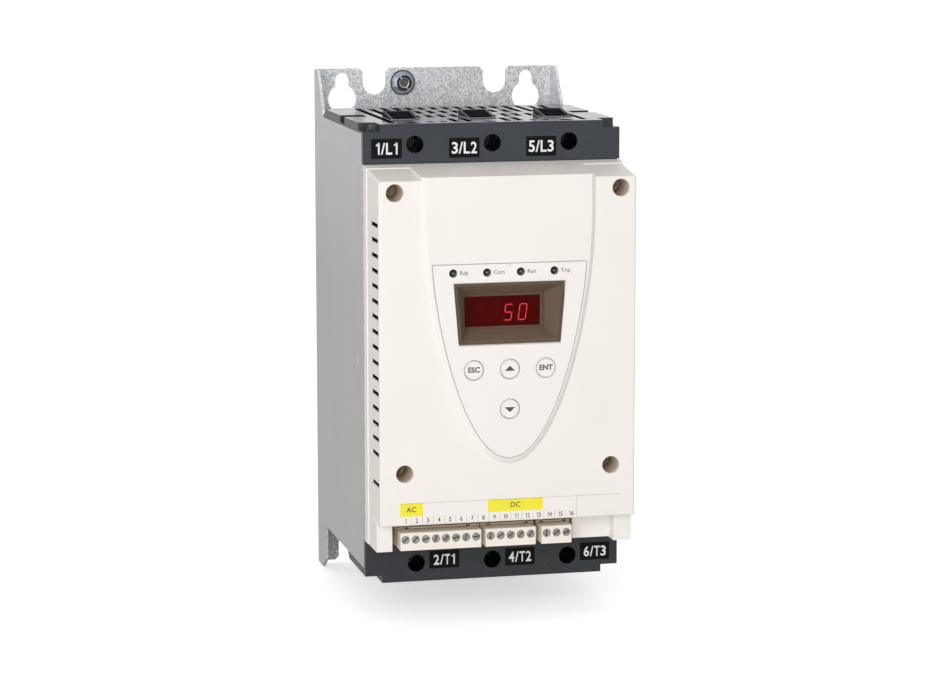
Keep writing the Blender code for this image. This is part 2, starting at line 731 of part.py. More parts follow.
def build_heat_sink():
    """An aluminium extrusion: a base that carries the modules and fins back to the rear plate."""
    half = HALF_WIDTH - SHEET - GAP
    rear = SHEET + GAP
    root = rear + FIN_DEPTH
    rise = SINK_HEIGHT / 2
    sink = box_object("heat_sink", (-half, half), (rear, SINK_FRONT), (-rise, rise), ALUMINIUM)
    pitch = (2 * half - FIN_THICKNESS) / (FIN_COUNT - 1)
    channels = []
    for index in range(FIN_COUNT - 1):
        left = index * pitch + FIN_THICKNESS - half
        right = (index + 1) * pitch - half
        channels.append(((left, right), (rear - OVERCUT, root), (-rise - OVERCUT, rise + OVERCUT)))
    cut_boxes(sink, channels)


def build_modules():
    """Thyristor modules on the heat sink, each with two fixing flanges and two terminal pads."""
    half_length = MODULE_LENGTH / 2
    for number, x in enumerate(PHASES, 1):
        x_pair = (x - MODULE_WIDTH / 2, x + MODULE_WIDTH / 2)
        core = half_length - MODULE_FLANGE
        depths = (MODULE_REAR + MODULE_BASE_STEP, MODULE_FRONT)
        module = box_object(f"thyristor_module_{number}", x_pair, depths, (-core, core), DARK)
        flange = (MODULE_REAR, MODULE_REAR + MODULE_FLANGE_DEPTH)
        half = MODULE_WIDTH / 2 - MODULE_FLANGE_INSET
        inset = (x - half, x + half)
        join_boxes(module, [(inset, flange, (-half_length, half_length))])
        pad_x = (x - MODULE_STUD_WIDTH / 2, x + MODULE_STUD_WIDTH / 2)
        pads = []
        for side in (-1, 1):
            middle = side * (half_length - MODULE_STUD_INSET)
            rise = (MODULE_FRONT - 0.001, MODULE_FRONT + MODULE_STUD_RISE)
            pads.append((pad_x, rise, (middle - MODULE_STUD_WIDTH / 2, middle + MODULE_STUD_WIDTH / 2)))
        join_boxes(module, pads)
        bm = bmesh.new()
        for side in (-1, 1):
            z = side * (half_length - MODULE_FLANGE / 2)
            depths = (MODULE_REAR - OVERCUT, MODULE_REAR + MODULE_FLANGE_DEPTH + OVERCUT)
            rod(bm, x, z, depths, MODULE_HOLE_RADIUS, segments=10)
        combine(module, bm)


def build_conductors():
    """Busbars from the modules out to the cage clamps, the clamps and their screws, at both ends."""
    for side, prefix in ((1, "line"), (-1, "load")):
        access = TOP_ACCESS if side > 0 else BOTTOM_ACCESS
        for number, x in enumerate(PHASES, 1):
            start = side * (MODULE_LENGTH / 2 - MODULE_STUD_INSET - MODULE_STUD_WIDTH / 2)
            end = side * (access + CAGE_HEIGHT / 2 - 0.001)
            x_pair = (x - BAR_WIDTH / 2, x + BAR_WIDTH / 2)
            name = f"{prefix}_busbar_{number}"
            bar = box_object(name, x_pair, (BAR_REAR, BAR_FRONT), (start, end), COPPER)
            bevel(bar, 0.0004, 1)
            build_clamp(f"{prefix}_clamp_{number}", x, side * access)
            build_clamp_screw(f"{prefix}_clamp_screw_{number}", x, side * access)


def build_clamp(name, x, z):
    """A steel cage round the busbar's end, open up and down for the bar and the cable."""
    half = CAGE_WIDTH / 2
    z_pair = (z - CAGE_HEIGHT / 2, z + CAGE_HEIGHT / 2)
    clamp = box_object(name, (x - half, x + half), (CAGE_REAR, CAGE_FRONT), z_pair, STEEL)
    bevel(clamp, 0.0008, 1)
    inner = half - CAGE_WALL
    depths = (CAGE_REAR + CAGE_WALL, CAGE_FRONT - CAGE_WALL)
    cut_boxes(clamp, [((x - inner, x + inner), depths, (z_pair[0] - OVERCUT, z_pair[1] + OVERCUT))])
    bm = bmesh.new()
    depths = (CAGE_FRONT - CAGE_WALL - OVERCUT, CAGE_FRONT + OVERCUT)
    rod(bm, x, z, depths, CLAMP_SCREW_RADIUS + GAP, segments=16)
    combine(clamp, bm)


def build_clamp_screw(name, x, z):
    """The clamp's screw, with a slotted head that faces the access hole."""
    seat = CAGE_FRONT + GAP
    front = seat + CLAMP_SCREW_HEAD
    bm = bmesh.new()
    shank = (CAGE_FRONT - CAGE_WALL - CLAMP_SCREW_REACH, seat + CLAMP_SCREW_HEAD / 2)
    rod(bm, x, z, shank, CLAMP_SCREW_RADIUS, segments=16)
    screw = smooth(place(name, bm, STEEL))
    bm = bmesh.new()
    rod(bm, x, z, (seat, front), CLAMP_SCREW_HEAD_RADIUS, segments=16)
    combine(screw, bm, "UNION")
    half = CLAMP_SCREW_HEAD_RADIUS + OVERCUT
    slit = (z - CLAMP_SLIT / 2, z + CLAMP_SLIT / 2)
    cut_boxes(screw, [((x - half, x + half), (front - CLAMP_SLIT_DEPTH, front + OVERCUT), slit)])


def build_current_transformers():
    """Ring cores round the outer two load busbars."""
    middle = (BAR_REAR + BAR_FRONT) / 2
    for number, x in enumerate((PHASES[0], PHASES[-1]), 1):
        z_pair = (CORE_HEIGHT - CORE_LENGTH / 2, CORE_HEIGHT + CORE_LENGTH / 2)
        bm = bmesh.new()
        bmesh.ops.create_cone(
            bm,
            cap_ends=True,
            segments=20,
            radius1=CORE_OUTER,
            radius2=CORE_OUTER,
            depth=CORE_LENGTH,
            matrix=Matrix.Translation((x, -middle, CORE_HEIGHT)),
        )
        core = smooth(place(f"current_transformer_{number}", bm, DARK))
        x_pair = (x - BAR_WIDTH / 2 - GAP, x + BAR_WIDTH / 2 + GAP)
        depths = (BAR_REAR - GAP, BAR_FRONT + GAP)
        cut_boxes(core, [(x_pair, depths, (z_pair[0] - OVERCUT, z_pair[1] + OVERCUT))])


def grille_slots(columns, heights):
    """The slots of a deck, in columns on both sides of the middle. Each column lists its slots' depths."""
    slots = []
    for index, rows in enumerate(columns):
        for row in rows:
            for way in (-1, 1):
                x = way * (index + 0.5) * SLOT_PITCH
                slots.append(((x - SLOT_WIDTH / 2, x + SLOT_WIDTH / 2), row, heights))
    return slots


def deck_rows():
    """Two rows of slots behind the cable entries, each given by its rear and front depth."""
    rear = BLOCK_REAR + ROW_EDGE
    front = ENTRY_REAR - ROW_STOP
    length = (front - rear - ROW_RIB) / 2
    return (rear, rear + length), (front - length, front)


def top_columns():
    """The top deck's slots: broken where the cable entries stand, with a long one near each side."""
    far, middle = deck_rows()
    near = (ENTRY_REAR - NEAR_ROW_SETBACK, ENTRY_REAR - NEAR_ROW_SETBACK + NEAR_ROW_LENGTH)
    front = (BLOCK_FRONT - FRONT_ROW_SETBACK, BLOCK_FRONT - ROW_FRONT_EDGE)
    short = (BLOCK_FRONT - SHORT_ROW_SETBACK, BLOCK_FRONT - ROW_FRONT_EDGE)
    joined = (far[0], middle[1])
    beside_entry = (BLOCK_REAR + ENTRY_SLOT_EDGE, ENTRY_REAR - ENTRY_SLOT_STOP)
    at_edge = (BLOCK_REAR + EDGE_SLOT_EDGE, BLOCK_FRONT - ROW_FRONT_EDGE)
    return (
        (far, middle),
        (far, middle, near, front),
        (far, middle, near, front),
        (far, middle, near, short),
        (joined, near, short),
        (joined,),
        (beside_entry,),
        (at_edge,),
    )


def bottom_columns():
    """The bottom's slots: a long one in the rear plate and, between the entries, one in the front part."""
    far, middle = deck_rows()
    rear = (far[0], middle[1])
    front = (BLOCK_FRONT - FRONT_ROW_SETBACK, BLOCK_FRONT - ROW_FRONT_EDGE)
    both = (rear, front)
    return ((rear,), both, both, both, both, (rear,), (rear,), (rear,))


def build_top_block():
    """The top terminal block: a deck over the side panels, with notched front corners and snap notches."""
    rests = PANEL_TOP + GAP
    half = HALF_WIDTH
    outline = [
        (half, -BLOCK_FRONT),
        (half, -BLOCK_REAR - REAR_CHAMFER),
        (half - REAR_CHAMFER, -BLOCK_REAR),
        (REAR_CHAMFER - half, -BLOCK_REAR),
        (-half, -BLOCK_REAR - REAR_CHAMFER),
        (-half, -BLOCK_FRONT),
    ]
    bm = slab("deck", [outline], TOP_DECK - rests, lying(rests, TOP_DECK))
    for corner in bm.verts:
        if -corner.co.y < BLOCK_REAR + REAR_CHAMFER + 0.001 and corner.co.z < TOP_DECK - 0.001:
            corner.co.y += REAR_SLOPE
    block = place("top_terminal_block", bm, SLATE)
    skirt_out = HALF_WIDTH - SHEET - GAP
    skirt_in = skirt_out - BLOCK_WALL
    rear = BLOCK_REAR + REAR_CHAMFER - REAR_SLOPE
    skirt_low = PANEL_TOP - SKIRT_DROP
    join_boxes(
        block,
        [
            ((-skirt_out, skirt_out), (rear + 0.001, WALL_REAR + 0.001), (skirt_low, rests + BLOCK_LAP)),
            ((-half, half), (WALL_REAR, BLOCK_FRONT), (TOP_SEAM, rests + BLOCK_LAP)),
        ],
    )
    low = TOP_SEAM - OVERCUT
    narrow = LIP_HALF - BLOCK_WALL
    notch_rear = CORNER_NOTCH_REAR - BLOCK_WALL
    inner = TOP_DECK - BLOCK_WALL
    cut_boxes(block, [((-skirt_in, skirt_in), (rear + 0.001 + BLOCK_WALL, notch_rear), (low, inner))])
    cut_boxes(block, [((-narrow, narrow), (notch_rear - 0.001, WALL_REAR), (low, inner))])
    under = (low, TOP_SHOULDER - BLOCK_WALL)
    cut_boxes(block, [((-skirt_in, skirt_in), (notch_rear - 0.001, WALL_REAR), under)])
    notches = []
    for way in (-1, 1):
        corner = (way * LIP_HALF, way * (half + OVERCUT))
        floor = (TOP_SHOULDER, TOP_DECK + OVERCUT)
        notches.append((corner, (CORNER_NOTCH_REAR, BLOCK_FRONT + OVERCUT), floor))
        snap = (way * (half - SNAP_REACH), way * (half + OVERCUT))
        floor = (rests + SNAP_FLOOR, TOP_DECK + OVERCUT)
        notches.append((snap, (SNAP_DEPTH, SNAP_DEPTH + SNAP_WIDTH), floor))
    cut_boxes(block, notches)
    for x in PHASES:
        build_collar(block, x)
    fit_terminals(block, 1)
    cut_boxes(block, [entry_box(x, 1) for x in PHASES])
    cut_boxes(block, grille_slots(top_columns(), (inner - BLOCK_WALL, TOP_DECK + OVERCUT)))
    cut_finger_dips(block)


def cut_finger_dips(block):
    """A shallow round dip in the deck in front of each cable entry."""
    bm = bmesh.new()
    middle = (2 * TOP_DECK - FINGER_SINK + OVERCUT) / 2
    for x in PHASES:
        bmesh.ops.create_cone(
            bm,
            cap_ends=True,
            segments=20,
            radius1=FINGER_RADIUS,
            radius2=FINGER_RADIUS,
            depth=FINGER_SINK + OVERCUT,
            matrix=Matrix.Translation((x, FINGER_SETBACK + FINGER_RADIUS - BLOCK_FRONT, middle)),
        )
    combine(block, bm)


def build_bottom_block():
    """The bottom terminal block: a deep front part under the side panels and a plate between them."""
    rests = PANEL_BOTTOM + GAP
    half = HALF_WIDTH
    bm = bmesh.new()
    depths = (FOOT_REAR + FOOT_SLOPE, BLOCK_FRONT)
    for corner in box(bm, (-half, half), depths, (-BOTTOM_SHOULDER, -rests)):
        if corner.co.z < -BOTTOM_SHOULDER + 0.001 and -corner.co.y < BLOCK_FRONT - 0.001:
            corner.co.y -= FOOT_SLOPE
    block = place("bottom_terminal_block", bm, SLATE)
    skirt_out = HALF_WIDTH - SHEET - GAP
    skirt_in = skirt_out - BLOCK_WALL
    skirt_low = PANEL_BOTTOM - SKIRT_DROP
    floor = PANEL_BOTTOM - GAP
    lap = -rests - BLOCK_LAP
    plate_half = skirt_out - 0.001
    join_boxes(
        block,
        [
            ((-LIP_HALF, LIP_HALF), (FOOT_REAR, BLOCK_FRONT), (-BOTTOM_DECK, lap)),
            ((-skirt_out, skirt_out), (FOOT_REAR - BLOCK_LAP, WALL_REAR + 0.001), (lap, -skirt_low)),
            ((-half, half), (WALL_REAR, BLOCK_FRONT), (lap, -BOTTOM_SEAM)),
            ((-plate_half, plate_half), (BLOCK_REAR, FOOT_REAR + 0.001), (-floor, BLOCK_WALL - floor)),
        ],
    )
    high = OVERCUT - BOTTOM_SEAM
    narrow = LIP_HALF - BLOCK_WALL
    depths = (FOOT_REAR + BLOCK_WALL, WALL_REAR)
    cut_boxes(block, [((-skirt_in, skirt_in), depths, (BLOCK_WALL - BOTTOM_SHOULDER, high))])
    cut_boxes(block, [((-narrow, narrow), depths, (BLOCK_WALL - BOTTOM_DECK, high))])
    fit_terminals(block, -1)
    cut_boxes(block, [entry_box(x, -1) for x in PHASES])
    cut_boxes(block, grille_slots(bottom_columns(), (-BOTTOM_DECK - OVERCUT, 2 * BLOCK_WALL - floor)))


def fit_terminals(block, side):
    """The shelf, the barriers and the screw tubes that hold the cage clamps, and the busbars' slots."""
    if side > 0:
        deck, seam, access = TOP_DECK, TOP_SEAM, TOP_ACCESS
    else:
        deck, seam, access = BOTTOM_DECK, BOTTOM_SEAM, BOTTOM_ACCESS
    skirt_in = HALF_WIDTH - SHEET - GAP - BLOCK_WALL
    shelf = access - CAGE_HEIGHT / 2 - GAP
    depths = (CAGE_REAR - 0.001, WALL_REAR + 0.001)
    walls = [((-skirt_in - 0.001, skirt_in + 0.001), depths, (side * (shelf - BLOCK_WALL), side * shelf))]
    barrier_depths = (CAGE_REAR + 0.001, WALL_REAR + 0.0015)
    for way in (-1, 1):
        barrier = (way * (PHASE_PITCH - BARRIER) / 2, way * (PHASE_PITCH + BARRIER) / 2)
        walls.append((barrier, barrier_depths, (side * (seam + 0.0005), side * (deck - 0.001))))
    join_boxes(block, walls)
    tube_rear = CAGE_FRONT + CLAMP_SCREW_HEAD + 2 * GAP
    for x in PHASES:
        bm = bmesh.new()
        depths = (tube_rear, BLOCK_FRONT - 0.001)
        rod(bm, x, side * access, depths, ACCESS_RADIUS + ACCESS_WALL, segments=16)
        combine(block, bm, "UNION")
    half = BAR_WIDTH / 2 + GAP
    bm = bmesh.new()
    for x in PHASES:
        rod(bm, x, side * access, (tube_rear - OVERCUT, BLOCK_FRONT + OVERCUT), ACCESS_RADIUS, segments=16)
        slot_depths = (CAGE_REAR - OVERCUT, BAR_FRONT + GAP)
        box(bm, (x - half, x + half), slot_depths, (side * (seam - OVERCUT), side * access))
    combine(block, bm)


def entry_box(x, side):
    deck = TOP_DECK if side > 0 else BOTTOM_DECK
    half = ENTRY_WIDTH / 2
    z = (side * (deck - BLOCK_WALL - 0.001), side * (deck + COLLAR_RISE + OVERCUT))
    return ((x - half, x + half), (ENTRY_REAR, ENTRY_FRONT), z)


def build_collar(block, x):
    """The hood round a cable entry, high at the rear and level with the deck at the front."""
    half = ENTRY_WIDTH / 2 + COLLAR_WALL
    bm = bmesh.new()
    depths = (ENTRY_REAR - COLLAR_WALL, ENTRY_FRONT + COLLAR_WALL)
    corners = box(bm, (x - half, x + half), depths, (TOP_DECK - 0.001, TOP_DECK + COLLAR_RISE))
    for corner in corners:
        if corner.co.z > TOP_DECK and -corner.co.y > (ENTRY_REAR + ENTRY_FRONT) / 2:
            corner.co.z = TOP_DECK + GAP
    combine(block, bm, "UNION")


def build_tray():
    """The plate between the terminal blocks that carries both boards, the cover and the side lugs."""
    half = HALF_WIDTH - TRAY_INSET
    top = TOP_SEAM - GAP
    bottom = GAP - BOTTOM_SEAM
    tray = box_object("mounting_tray", (-half, half), (TRAY_REAR, TRAY_FRONT), (bottom, top), DARK)
    for x in (-POST_X, POST_X):
        for z in (-POST_Z, POST_Z):
            bm = bmesh.new()
            rod(bm, x, z, (POWER_BOARD_FRONT + GAP, TRAY_REAR + 0.001), POST_RADIUS, segments=8)
            combine(tray, bm, "UNION")
        for z in (CONTROL_BOARD_TOP - CONTROL_POST_DROP, CONTROL_BOARD_BOTTOM + CONTROL_POST_RISE):
            bm = bmesh.new()
            rod(bm, x, z, (TRAY_FRONT - 0.001, CONTROL_BOARD_REAR - GAP), POST_RADIUS, segments=8)
            combine(tray, bm, "UNION")
    outer = HALF_WIDTH - SHEET - GAP
    z = (SIDE_SCREW_HEIGHT - LUG_HEIGHT / 2, SIDE_SCREW_HEIGHT + LUG_HEIGHT / 2)
    lugs = []
    depths = (TRAY_REAR - LUG_REACH, TRAY_REAR + 0.001)
    for side in (-1, 1):
        lugs.append(((side * (outer - LUG_THICKNESS), side * outer), depths, z))
    join_boxes(tray, lugs)
    boss = (TRAY_FRONT - 0.001, WELL_FLOOR_DEPTH - COVER_WALL - GAP)
    for x, z in WELLS:
        bm = bmesh.new()
        rod(bm, x, z, boss, WELL_RADIUS, segments=12)
        combine(tray, bm, "UNION")
    bm = bmesh.new()
    for x, z in WELLS:
        rod(bm, x, z, (TRAY_REAR - OVERCUT, WELL_FLOOR_DEPTH + OVERCUT), SCREW_RADIUS + GAP, segments=12)
    for side in (-1, 1):
        pair = sorted((side * (outer - LUG_THICKNESS - OVERCUT), side * (outer + OVERCUT)))
        cross_rod(bm, pair, SIDE_SCREW_DEPTH, SIDE_SCREW_HEIGHT, SIDE_SCREW_RADIUS + GAP, segments=12)
    combine(tray, bm)


def component(x, z, face, size):
    """A block on a board's front face, let a little into it. The size is its width, height and depth."""
    width, height, depth = size
    return (
        (x - width / 2, x + width / 2),
        (face - BOARD_THICKNESS / 3, face + depth),
        (z - height / 2, z + height / 2),
    )


def build_power_board():
    """The power board, with the relays on its front."""
    half = POWER_BOARD_WIDTH / 2
    rise = POWER_BOARD_HEIGHT / 2
    place_board = (POWER_BOARD_DEPTH, POWER_BOARD_FRONT)
    board = box_object("power_board", (-half, half), place_board, (-rise, rise), BOARD)
    parts = []
    for x in PHASES:
        above = RELAY_HEIGHT / 2 + COMPONENT_GAP + SUPPRESSOR[1] / 2
        below = RELAY_HEIGHT / 2 + COMPONENT_GAP + RESISTOR[1] / 2
        parts.append(component(x, above, POWER_BOARD_FRONT, SUPPRESSOR))
        parts.append(component(x, -below, POWER_BOARD_FRONT, RESISTOR))
    join_boxes(board, parts)
    for number, x in enumerate(PHASES, 1):
        relay_x = (x - RELAY_WIDTH / 2, x + RELAY_WIDTH / 2)
        front = POWER_BOARD_FRONT + GAP + RELAY_DEPTH
        z = (-RELAY_HEIGHT / 2, RELAY_HEIGHT / 2)
        relay = box_object(f"bypass_relay_{number}", relay_x, (POWER_BOARD_FRONT + GAP, front), z, RELAY)
        bevel(relay, 0.0008, 1)


def build_control_board():
    """The control board behind the cover, with the key switches and a few components."""
    half = CONTROL_BOARD_WIDTH / 2
    depths = (CONTROL_BOARD_REAR, CONTROL_BOARD_FRONT)
    z = (CONTROL_BOARD_BOTTOM, CONTROL_BOARD_TOP)
    board = box_object("control_board", (-half, half), depths, z, BOARD)
    switch = (SWITCH_SIZE, SWITCH_SIZE, SWITCH_HEIGHT)
    parts = [component(x, z, CONTROL_BOARD_FRONT, switch) for x, z in BUTTONS.values()]
    parts.append(component(-half + PROCESSOR[0], PROCESSOR_Z, CONTROL_BOARD_FRONT, PROCESSOR))
    parts.append(component(half - 2 * DRIVER[0], DRIVER_Z, CONTROL_BOARD_FRONT, DRIVER))
    parts.append(component(0.0, PLUG_TOP + SUPPLY_RISE, CONTROL_BOARD_FRONT, SUPPLY))
    join_boxes(board, parts)
    bm = bmesh.new()
    for x, z in WELLS:
        if CONTROL_BOARD_BOTTOM < z < CONTROL_BOARD_TOP:
            rod(bm, x, z, (TRAY_FRONT, WELL_FLOOR_DEPTH), WELL_RADIUS + GAP, segments=16)
    combine(board, bm)


def shield_outline():
    """The raised shield: straight above its shoulders, then drawn in to a rounded tip."""
    return taper_outline(SHIELD_HALF, SHIELD_SHOULDER, SHIELD_TIP, SHIELD_POWER, COVER_TOP + 0.001)


def overlay_outline(grow=0.0):
    """The keypad film's outline, or the recess that it lies in when grow is a clearance."""
    return taper_outline(
        OVERLAY_HALF + grow, OVERLAY_TOP + grow, OVERLAY_TIP - grow, OVERLAY_POWER, OVERLAY_TOP + grow
    )


def taper_outline(half, shoulder, tip, power, top):
    """A symmetric outline: full width from top down to shoulder, then narrowing to the tip."""
    length = shoulder - tip
    side = [] if top <= shoulder else [(half, top)]
    for step in range(OUTLINE_STEPS + 1):
        share = 1 - (1 - step / OUTLINE_STEPS) ** 1.6
        width = half * math.sqrt(max(0.0, 1 - share**power))
        side.append((width, shoulder - share * length))
    return mirror_points(side)


def build_cover_shell():
    """The cover's outer skin with its sloped top, its raised shield and its hollow inside."""
    rear_half = HALF_WIDTH
    front_half = HALF_WIDTH - COVER_STEP - COVER_TAPER
    bm = bmesh.new()
    band = (COVER_REAR, COVER_REAR + COVER_REAR_BAND)
    slope = COVER_TOP_DROP / (COVER_FACE - COVER_REAR)
    band_top = COVER_TOP - slope * COVER_REAR_BAND
    for corner in box(bm, (-rear_half, rear_half), band, (LEG_BOTTOM, COVER_TOP)):
        if corner.co.z > 0 and -corner.co.y > band[0] + 0.001:
            corner.co.z = band_top
    cover = place("front_cover", bm, PALE)
    bm = bmesh.new()
    step_half = HALF_WIDTH - COVER_STEP
    depths = (band[1] - 0.002, COVER_FACE)
    for corner in box(bm, (-step_half, step_half), depths, (COVER_BOTTOM, COVER_TOP)):
        depth = -corner.co.y
        if corner.co.z > 0:
            corner.co.z = COVER_TOP - slope * (depth - COVER_REAR) - COVER_STEP
        if depth > COVER_FACE - 0.001:
            corner.co.x = math.copysign(front_half, corner.co.x)
    front_edges = []
    for edge in bm.edges:
        if all(-v.co.y > COVER_FACE - 0.001 for v in edge.verts):
            front_edges.append(edge)
        elif all(v.co.z > 0 and abs(v.co.x) > 0.01 for v in edge.verts) and edge.calc_length() < 0.05:
            front_edges.append(edge)
    bmesh.ops.bevel(
        bm, geom=front_edges, offset=COVER_EDGE_RADIUS, segments=3, profile=0.5, affect="EDGES", material=-1
    )
    combine(cover, bm, "UNION")
    return cover


def join_shield(cover):
    """The shield stands proud of the cover's face, with chamfered flanks and its own flatter top slope."""
    bm = slab("shield", [shield_outline()], DEPTH - COVER_REAR - 0.002, facing(COVER_REAR + 0.002, DEPTH))
    flank = []
    for edge in bm.edges:
        at_face = all(-v.co.y > DEPTH - 0.0001 for v in edge.verts)
        if at_face and len(edge.link_faces) == 2 and edge.calc_face_angle(0) > 0.5:
            if not all(v.co.z > COVER_TOP for v in edge.verts):
                flank.append(edge)
    bmesh.ops.bevel(
        bm, geom=flank, offset=SHIELD_CHAMFER, segments=1, profile=0.5, affect="EDGES", material=-1
    )
    reach = DEPTH - COVER_REAR
    normal = Vector((0, -SHIELD_TOP_DROP / reach, 1)).normalized()
    cut = bmesh.ops.bisect_plane(
        bm,
        geom=bm.verts[:] + bm.edges[:] + bm.faces[:],
        plane_co=(0, -COVER_REAR, COVER_TOP - 0.0001),
        plane_no=normal,
        clear_outer=True,
    )
    rim = [item for item in cut["geom_cut"] if isinstance(item, bmesh.types.BMEdge)]
    bmesh.ops.edgeloop_fill(bm, edges=rim)
    bmesh.ops.recalc_face_normals(bm, faces=bm.faces)
    combine(cover, bm, "UNION")


def window_quad(grow, depth_pair, rear_half, rear_low, rear_high):
    """A funnel-shaped solid: the window's outline in front, a rectangle behind."""
    bm = bmesh.new()
    rear, front = depth_pair
    for corner in box(bm, (-1, 1), (rear, front), (-1, 1)):
        side = math.copysign(1, corner.co.x)
        upper = corner.co.z > 0
        if -corner.co.y > (rear + front) / 2:
            half = WINDOW_TOP_HALF if upper else WINDOW_BOTTOM_HALF
            corner.co.x = side * (half + grow)
            corner.co.z = WINDOW_TOP + grow if upper else WINDOW_BOTTOM - grow
        else:
            corner.co.x = side * rear_half
            corner.co.z = rear_high if upper else rear_low
    return bm


def window_prism(grow, depth_pair):
    """The window's trapezium, straight through."""
    points = [
        (WINDOW_TOP_HALF + grow, WINDOW_TOP + grow),
        (-WINDOW_TOP_HALF - grow, WINDOW_TOP + grow),
        (-WINDOW_BOTTOM_HALF - grow, WINDOW_BOTTOM - grow),
        (WINDOW_BOTTOM_HALF + grow, WINDOW_BOTTOM - grow),
    ]
    return slab("window", [points], depth_pair[1] - depth_pair[0], facing(*depth_pair))


def build_front_cover():
    """The pale cover: shell, shield, funnel, screw wells, vents, key holes and the terminal recess."""
    cover = build_cover_shell()
    skin = HALF_WIDTH - COVER_STEP
    upper = COVER_BOTTOM + COVER_WALL
    leg_top = COVER_BOTTOM + COVER_WALL / 2
    join_boxes(
        cover,
        [
            ((-skin, LEFT_LEG_INNER), (COVER_REAR + 0.001, LEG_DEPTH), (LEG_BOTTOM, leg_top)),
            ((RIGHT_LEG_INNER, skin), (COVER_REAR + 0.001, LEG_DEPTH), (LEG_BOTTOM, leg_top)),
            (
                (SOCKET_BAY_LEFT, RIGHT_LEG_INNER + 0.001),
                (COVER_REAR + 0.002, SOCKET_BAY_DEPTH),
                (LEG_BOTTOM + COVER_STEP, leg_top + 0.0003),
            ),
        ],
    )
    join_shield(cover)
    hollow_half = HALF_WIDTH - COVER_STEP - COVER_TAPER - COVER_WALL
    bm = bmesh.new()
    slope = COVER_TOP_DROP / (COVER_FACE - COVER_REAR)
    hollow = (COVER_REAR - OVERCUT, COVER_INNER_FACE)
    for corner in box(bm, (-hollow_half, hollow_half), hollow, (upper, COVER_TOP - COVER_WALL)):
        if corner.co.z > 0:
            corner.co.z -= slope * (-corner.co.y - COVER_REAR)
    combine(cover, bm)
    bay_top = COVER_BOTTOM + COVER_WALL + 0.001
    bay_bottom = LEG_BOTTOM - OVERCUT
    rear = COVER_REAR - OVERCUT
    wall = COVER_WALL
    bay = (bay_bottom, bay_top)
    cut_boxes(
        cover,
        [
            ((-HALF_WIDTH + wall, LEFT_LEG_INNER - wall), (rear, LEG_DEPTH - wall), bay),
            ((LEFT_LEG_INNER, SOCKET_BAY_LEFT), (rear, SOCKET_BAY_DEPTH), bay),
            ((RIGHT_LEG_INNER + wall, HALF_WIDTH - wall), (rear, LEG_DEPTH - wall), bay),
        ],
    )
    inner = (SOCKET_BAY_LEFT + wall / 2, RIGHT_LEG_INNER)
    cut_boxes(cover, [(inner, (rear, SOCKET_BAY_DEPTH - wall / 2), bay)])
    inner = (SOCKET_BAY_LEFT - 0.001, RIGHT_LEG_INNER)
    cut_boxes(cover, [(inner, (rear, CONTROL_BOARD_FRONT + GAP), bay)])
    well_depths = (WELL_FLOOR_DEPTH - COVER_WALL, COVER_INNER_FACE + 0.001)
    for x, z in WELLS:
        bm = bmesh.new()
        rod(bm, x, z, well_depths, WELL_RADIUS + WELL_WALL / 2, segments=16)
        combine(cover, bm, "UNION")
    bm = window_quad(
        FUNNEL_WALL - WINDOW_LEDGE,
        (DISPLAY_DEPTH + GAP, COVER_INNER_FACE + 0.001),
        DISPLAY_HALF + GAP + FUNNEL_WALL,
        DISPLAY_MIDDLE - DISPLAY_HEIGHT / 2 - GAP - FUNNEL_WALL,
        DISPLAY_MIDDLE + DISPLAY_HEIGHT / 2 + GAP + FUNNEL_WALL,
    )
    combine(cover, bm, "UNION")
    cut_cover_holes(cover)
    return cover


def cut_cover_holes(cover):
    """The cuts through the cover's face and sides."""
    bm = bmesh.new()
    for x, z in WELLS:
        rod(bm, x, z, (WELL_FLOOR_DEPTH, COVER_FACE + 0.0002), WELL_FLOOR_RADIUS, WELL_RADIUS, segments=20)
    combine(cover, bm)
    bm = bmesh.new()
    for x, z in WELLS:
        depths = (WELL_FLOOR_DEPTH - 2 * COVER_WALL, WELL_FLOOR_DEPTH + 0.001)
        rod(bm, x, z, depths, SCREW_RADIUS + GAP, segments=12)
    combine(cover, bm)
    film_seat = DEPTH - OVERLAY_THICKNESS - GAP
    front = DEPTH + OVERCUT
    combine(cover, slab("recess", [overlay_outline(GAP)], front - film_seat, facing(film_seat, front)))
    lens_seat = film_seat - WINDOW_THICKNESS
    combine(cover, window_prism(GAP, (lens_seat, DEPTH)))
    bm = window_quad(
        -WINDOW_LEDGE,
        (DISPLAY_DEPTH - OVERCUT / 4, lens_seat + 0.0005),
        DISPLAY_HALF + GAP,
        DISPLAY_MIDDLE - DISPLAY_HEIGHT / 2 - GAP,
        DISPLAY_MIDDLE + DISPLAY_HEIGHT / 2 + GAP,
    )
    combine(cover, bm)
    bm = bmesh.new()
    for x, z in BUTTONS.values():
        rod(bm, x, z, (COVER_INNER_FACE - OVERCUT, DEPTH), BUTTON_RADIUS + GAP, segments=20)
    for x in LAMP_X:
        rod(bm, x, LAMP_Z, (COVER_INNER_FACE - OVERCUT, DEPTH), LAMP_RADIUS + GAP, segments=12)
    combine(cover, bm)
    vents = []
    for index in list(range(VENT_COUNT)) + [VENT_COUNT + 1]:
        z = VENT_TOP - index * VENT_PITCH
        for side in (-1, 1):
            x = (side * (HALF_WIDTH - 2 * COVER_WALL), side * (HALF_WIDTH + OVERCUT))
            vents.append((x, (VENT_REAR, VENT_FRONT), (z - VENT_HEIGHT / 2, z + VENT_HEIGHT / 2)))
    cut_boxes(cover, vents)


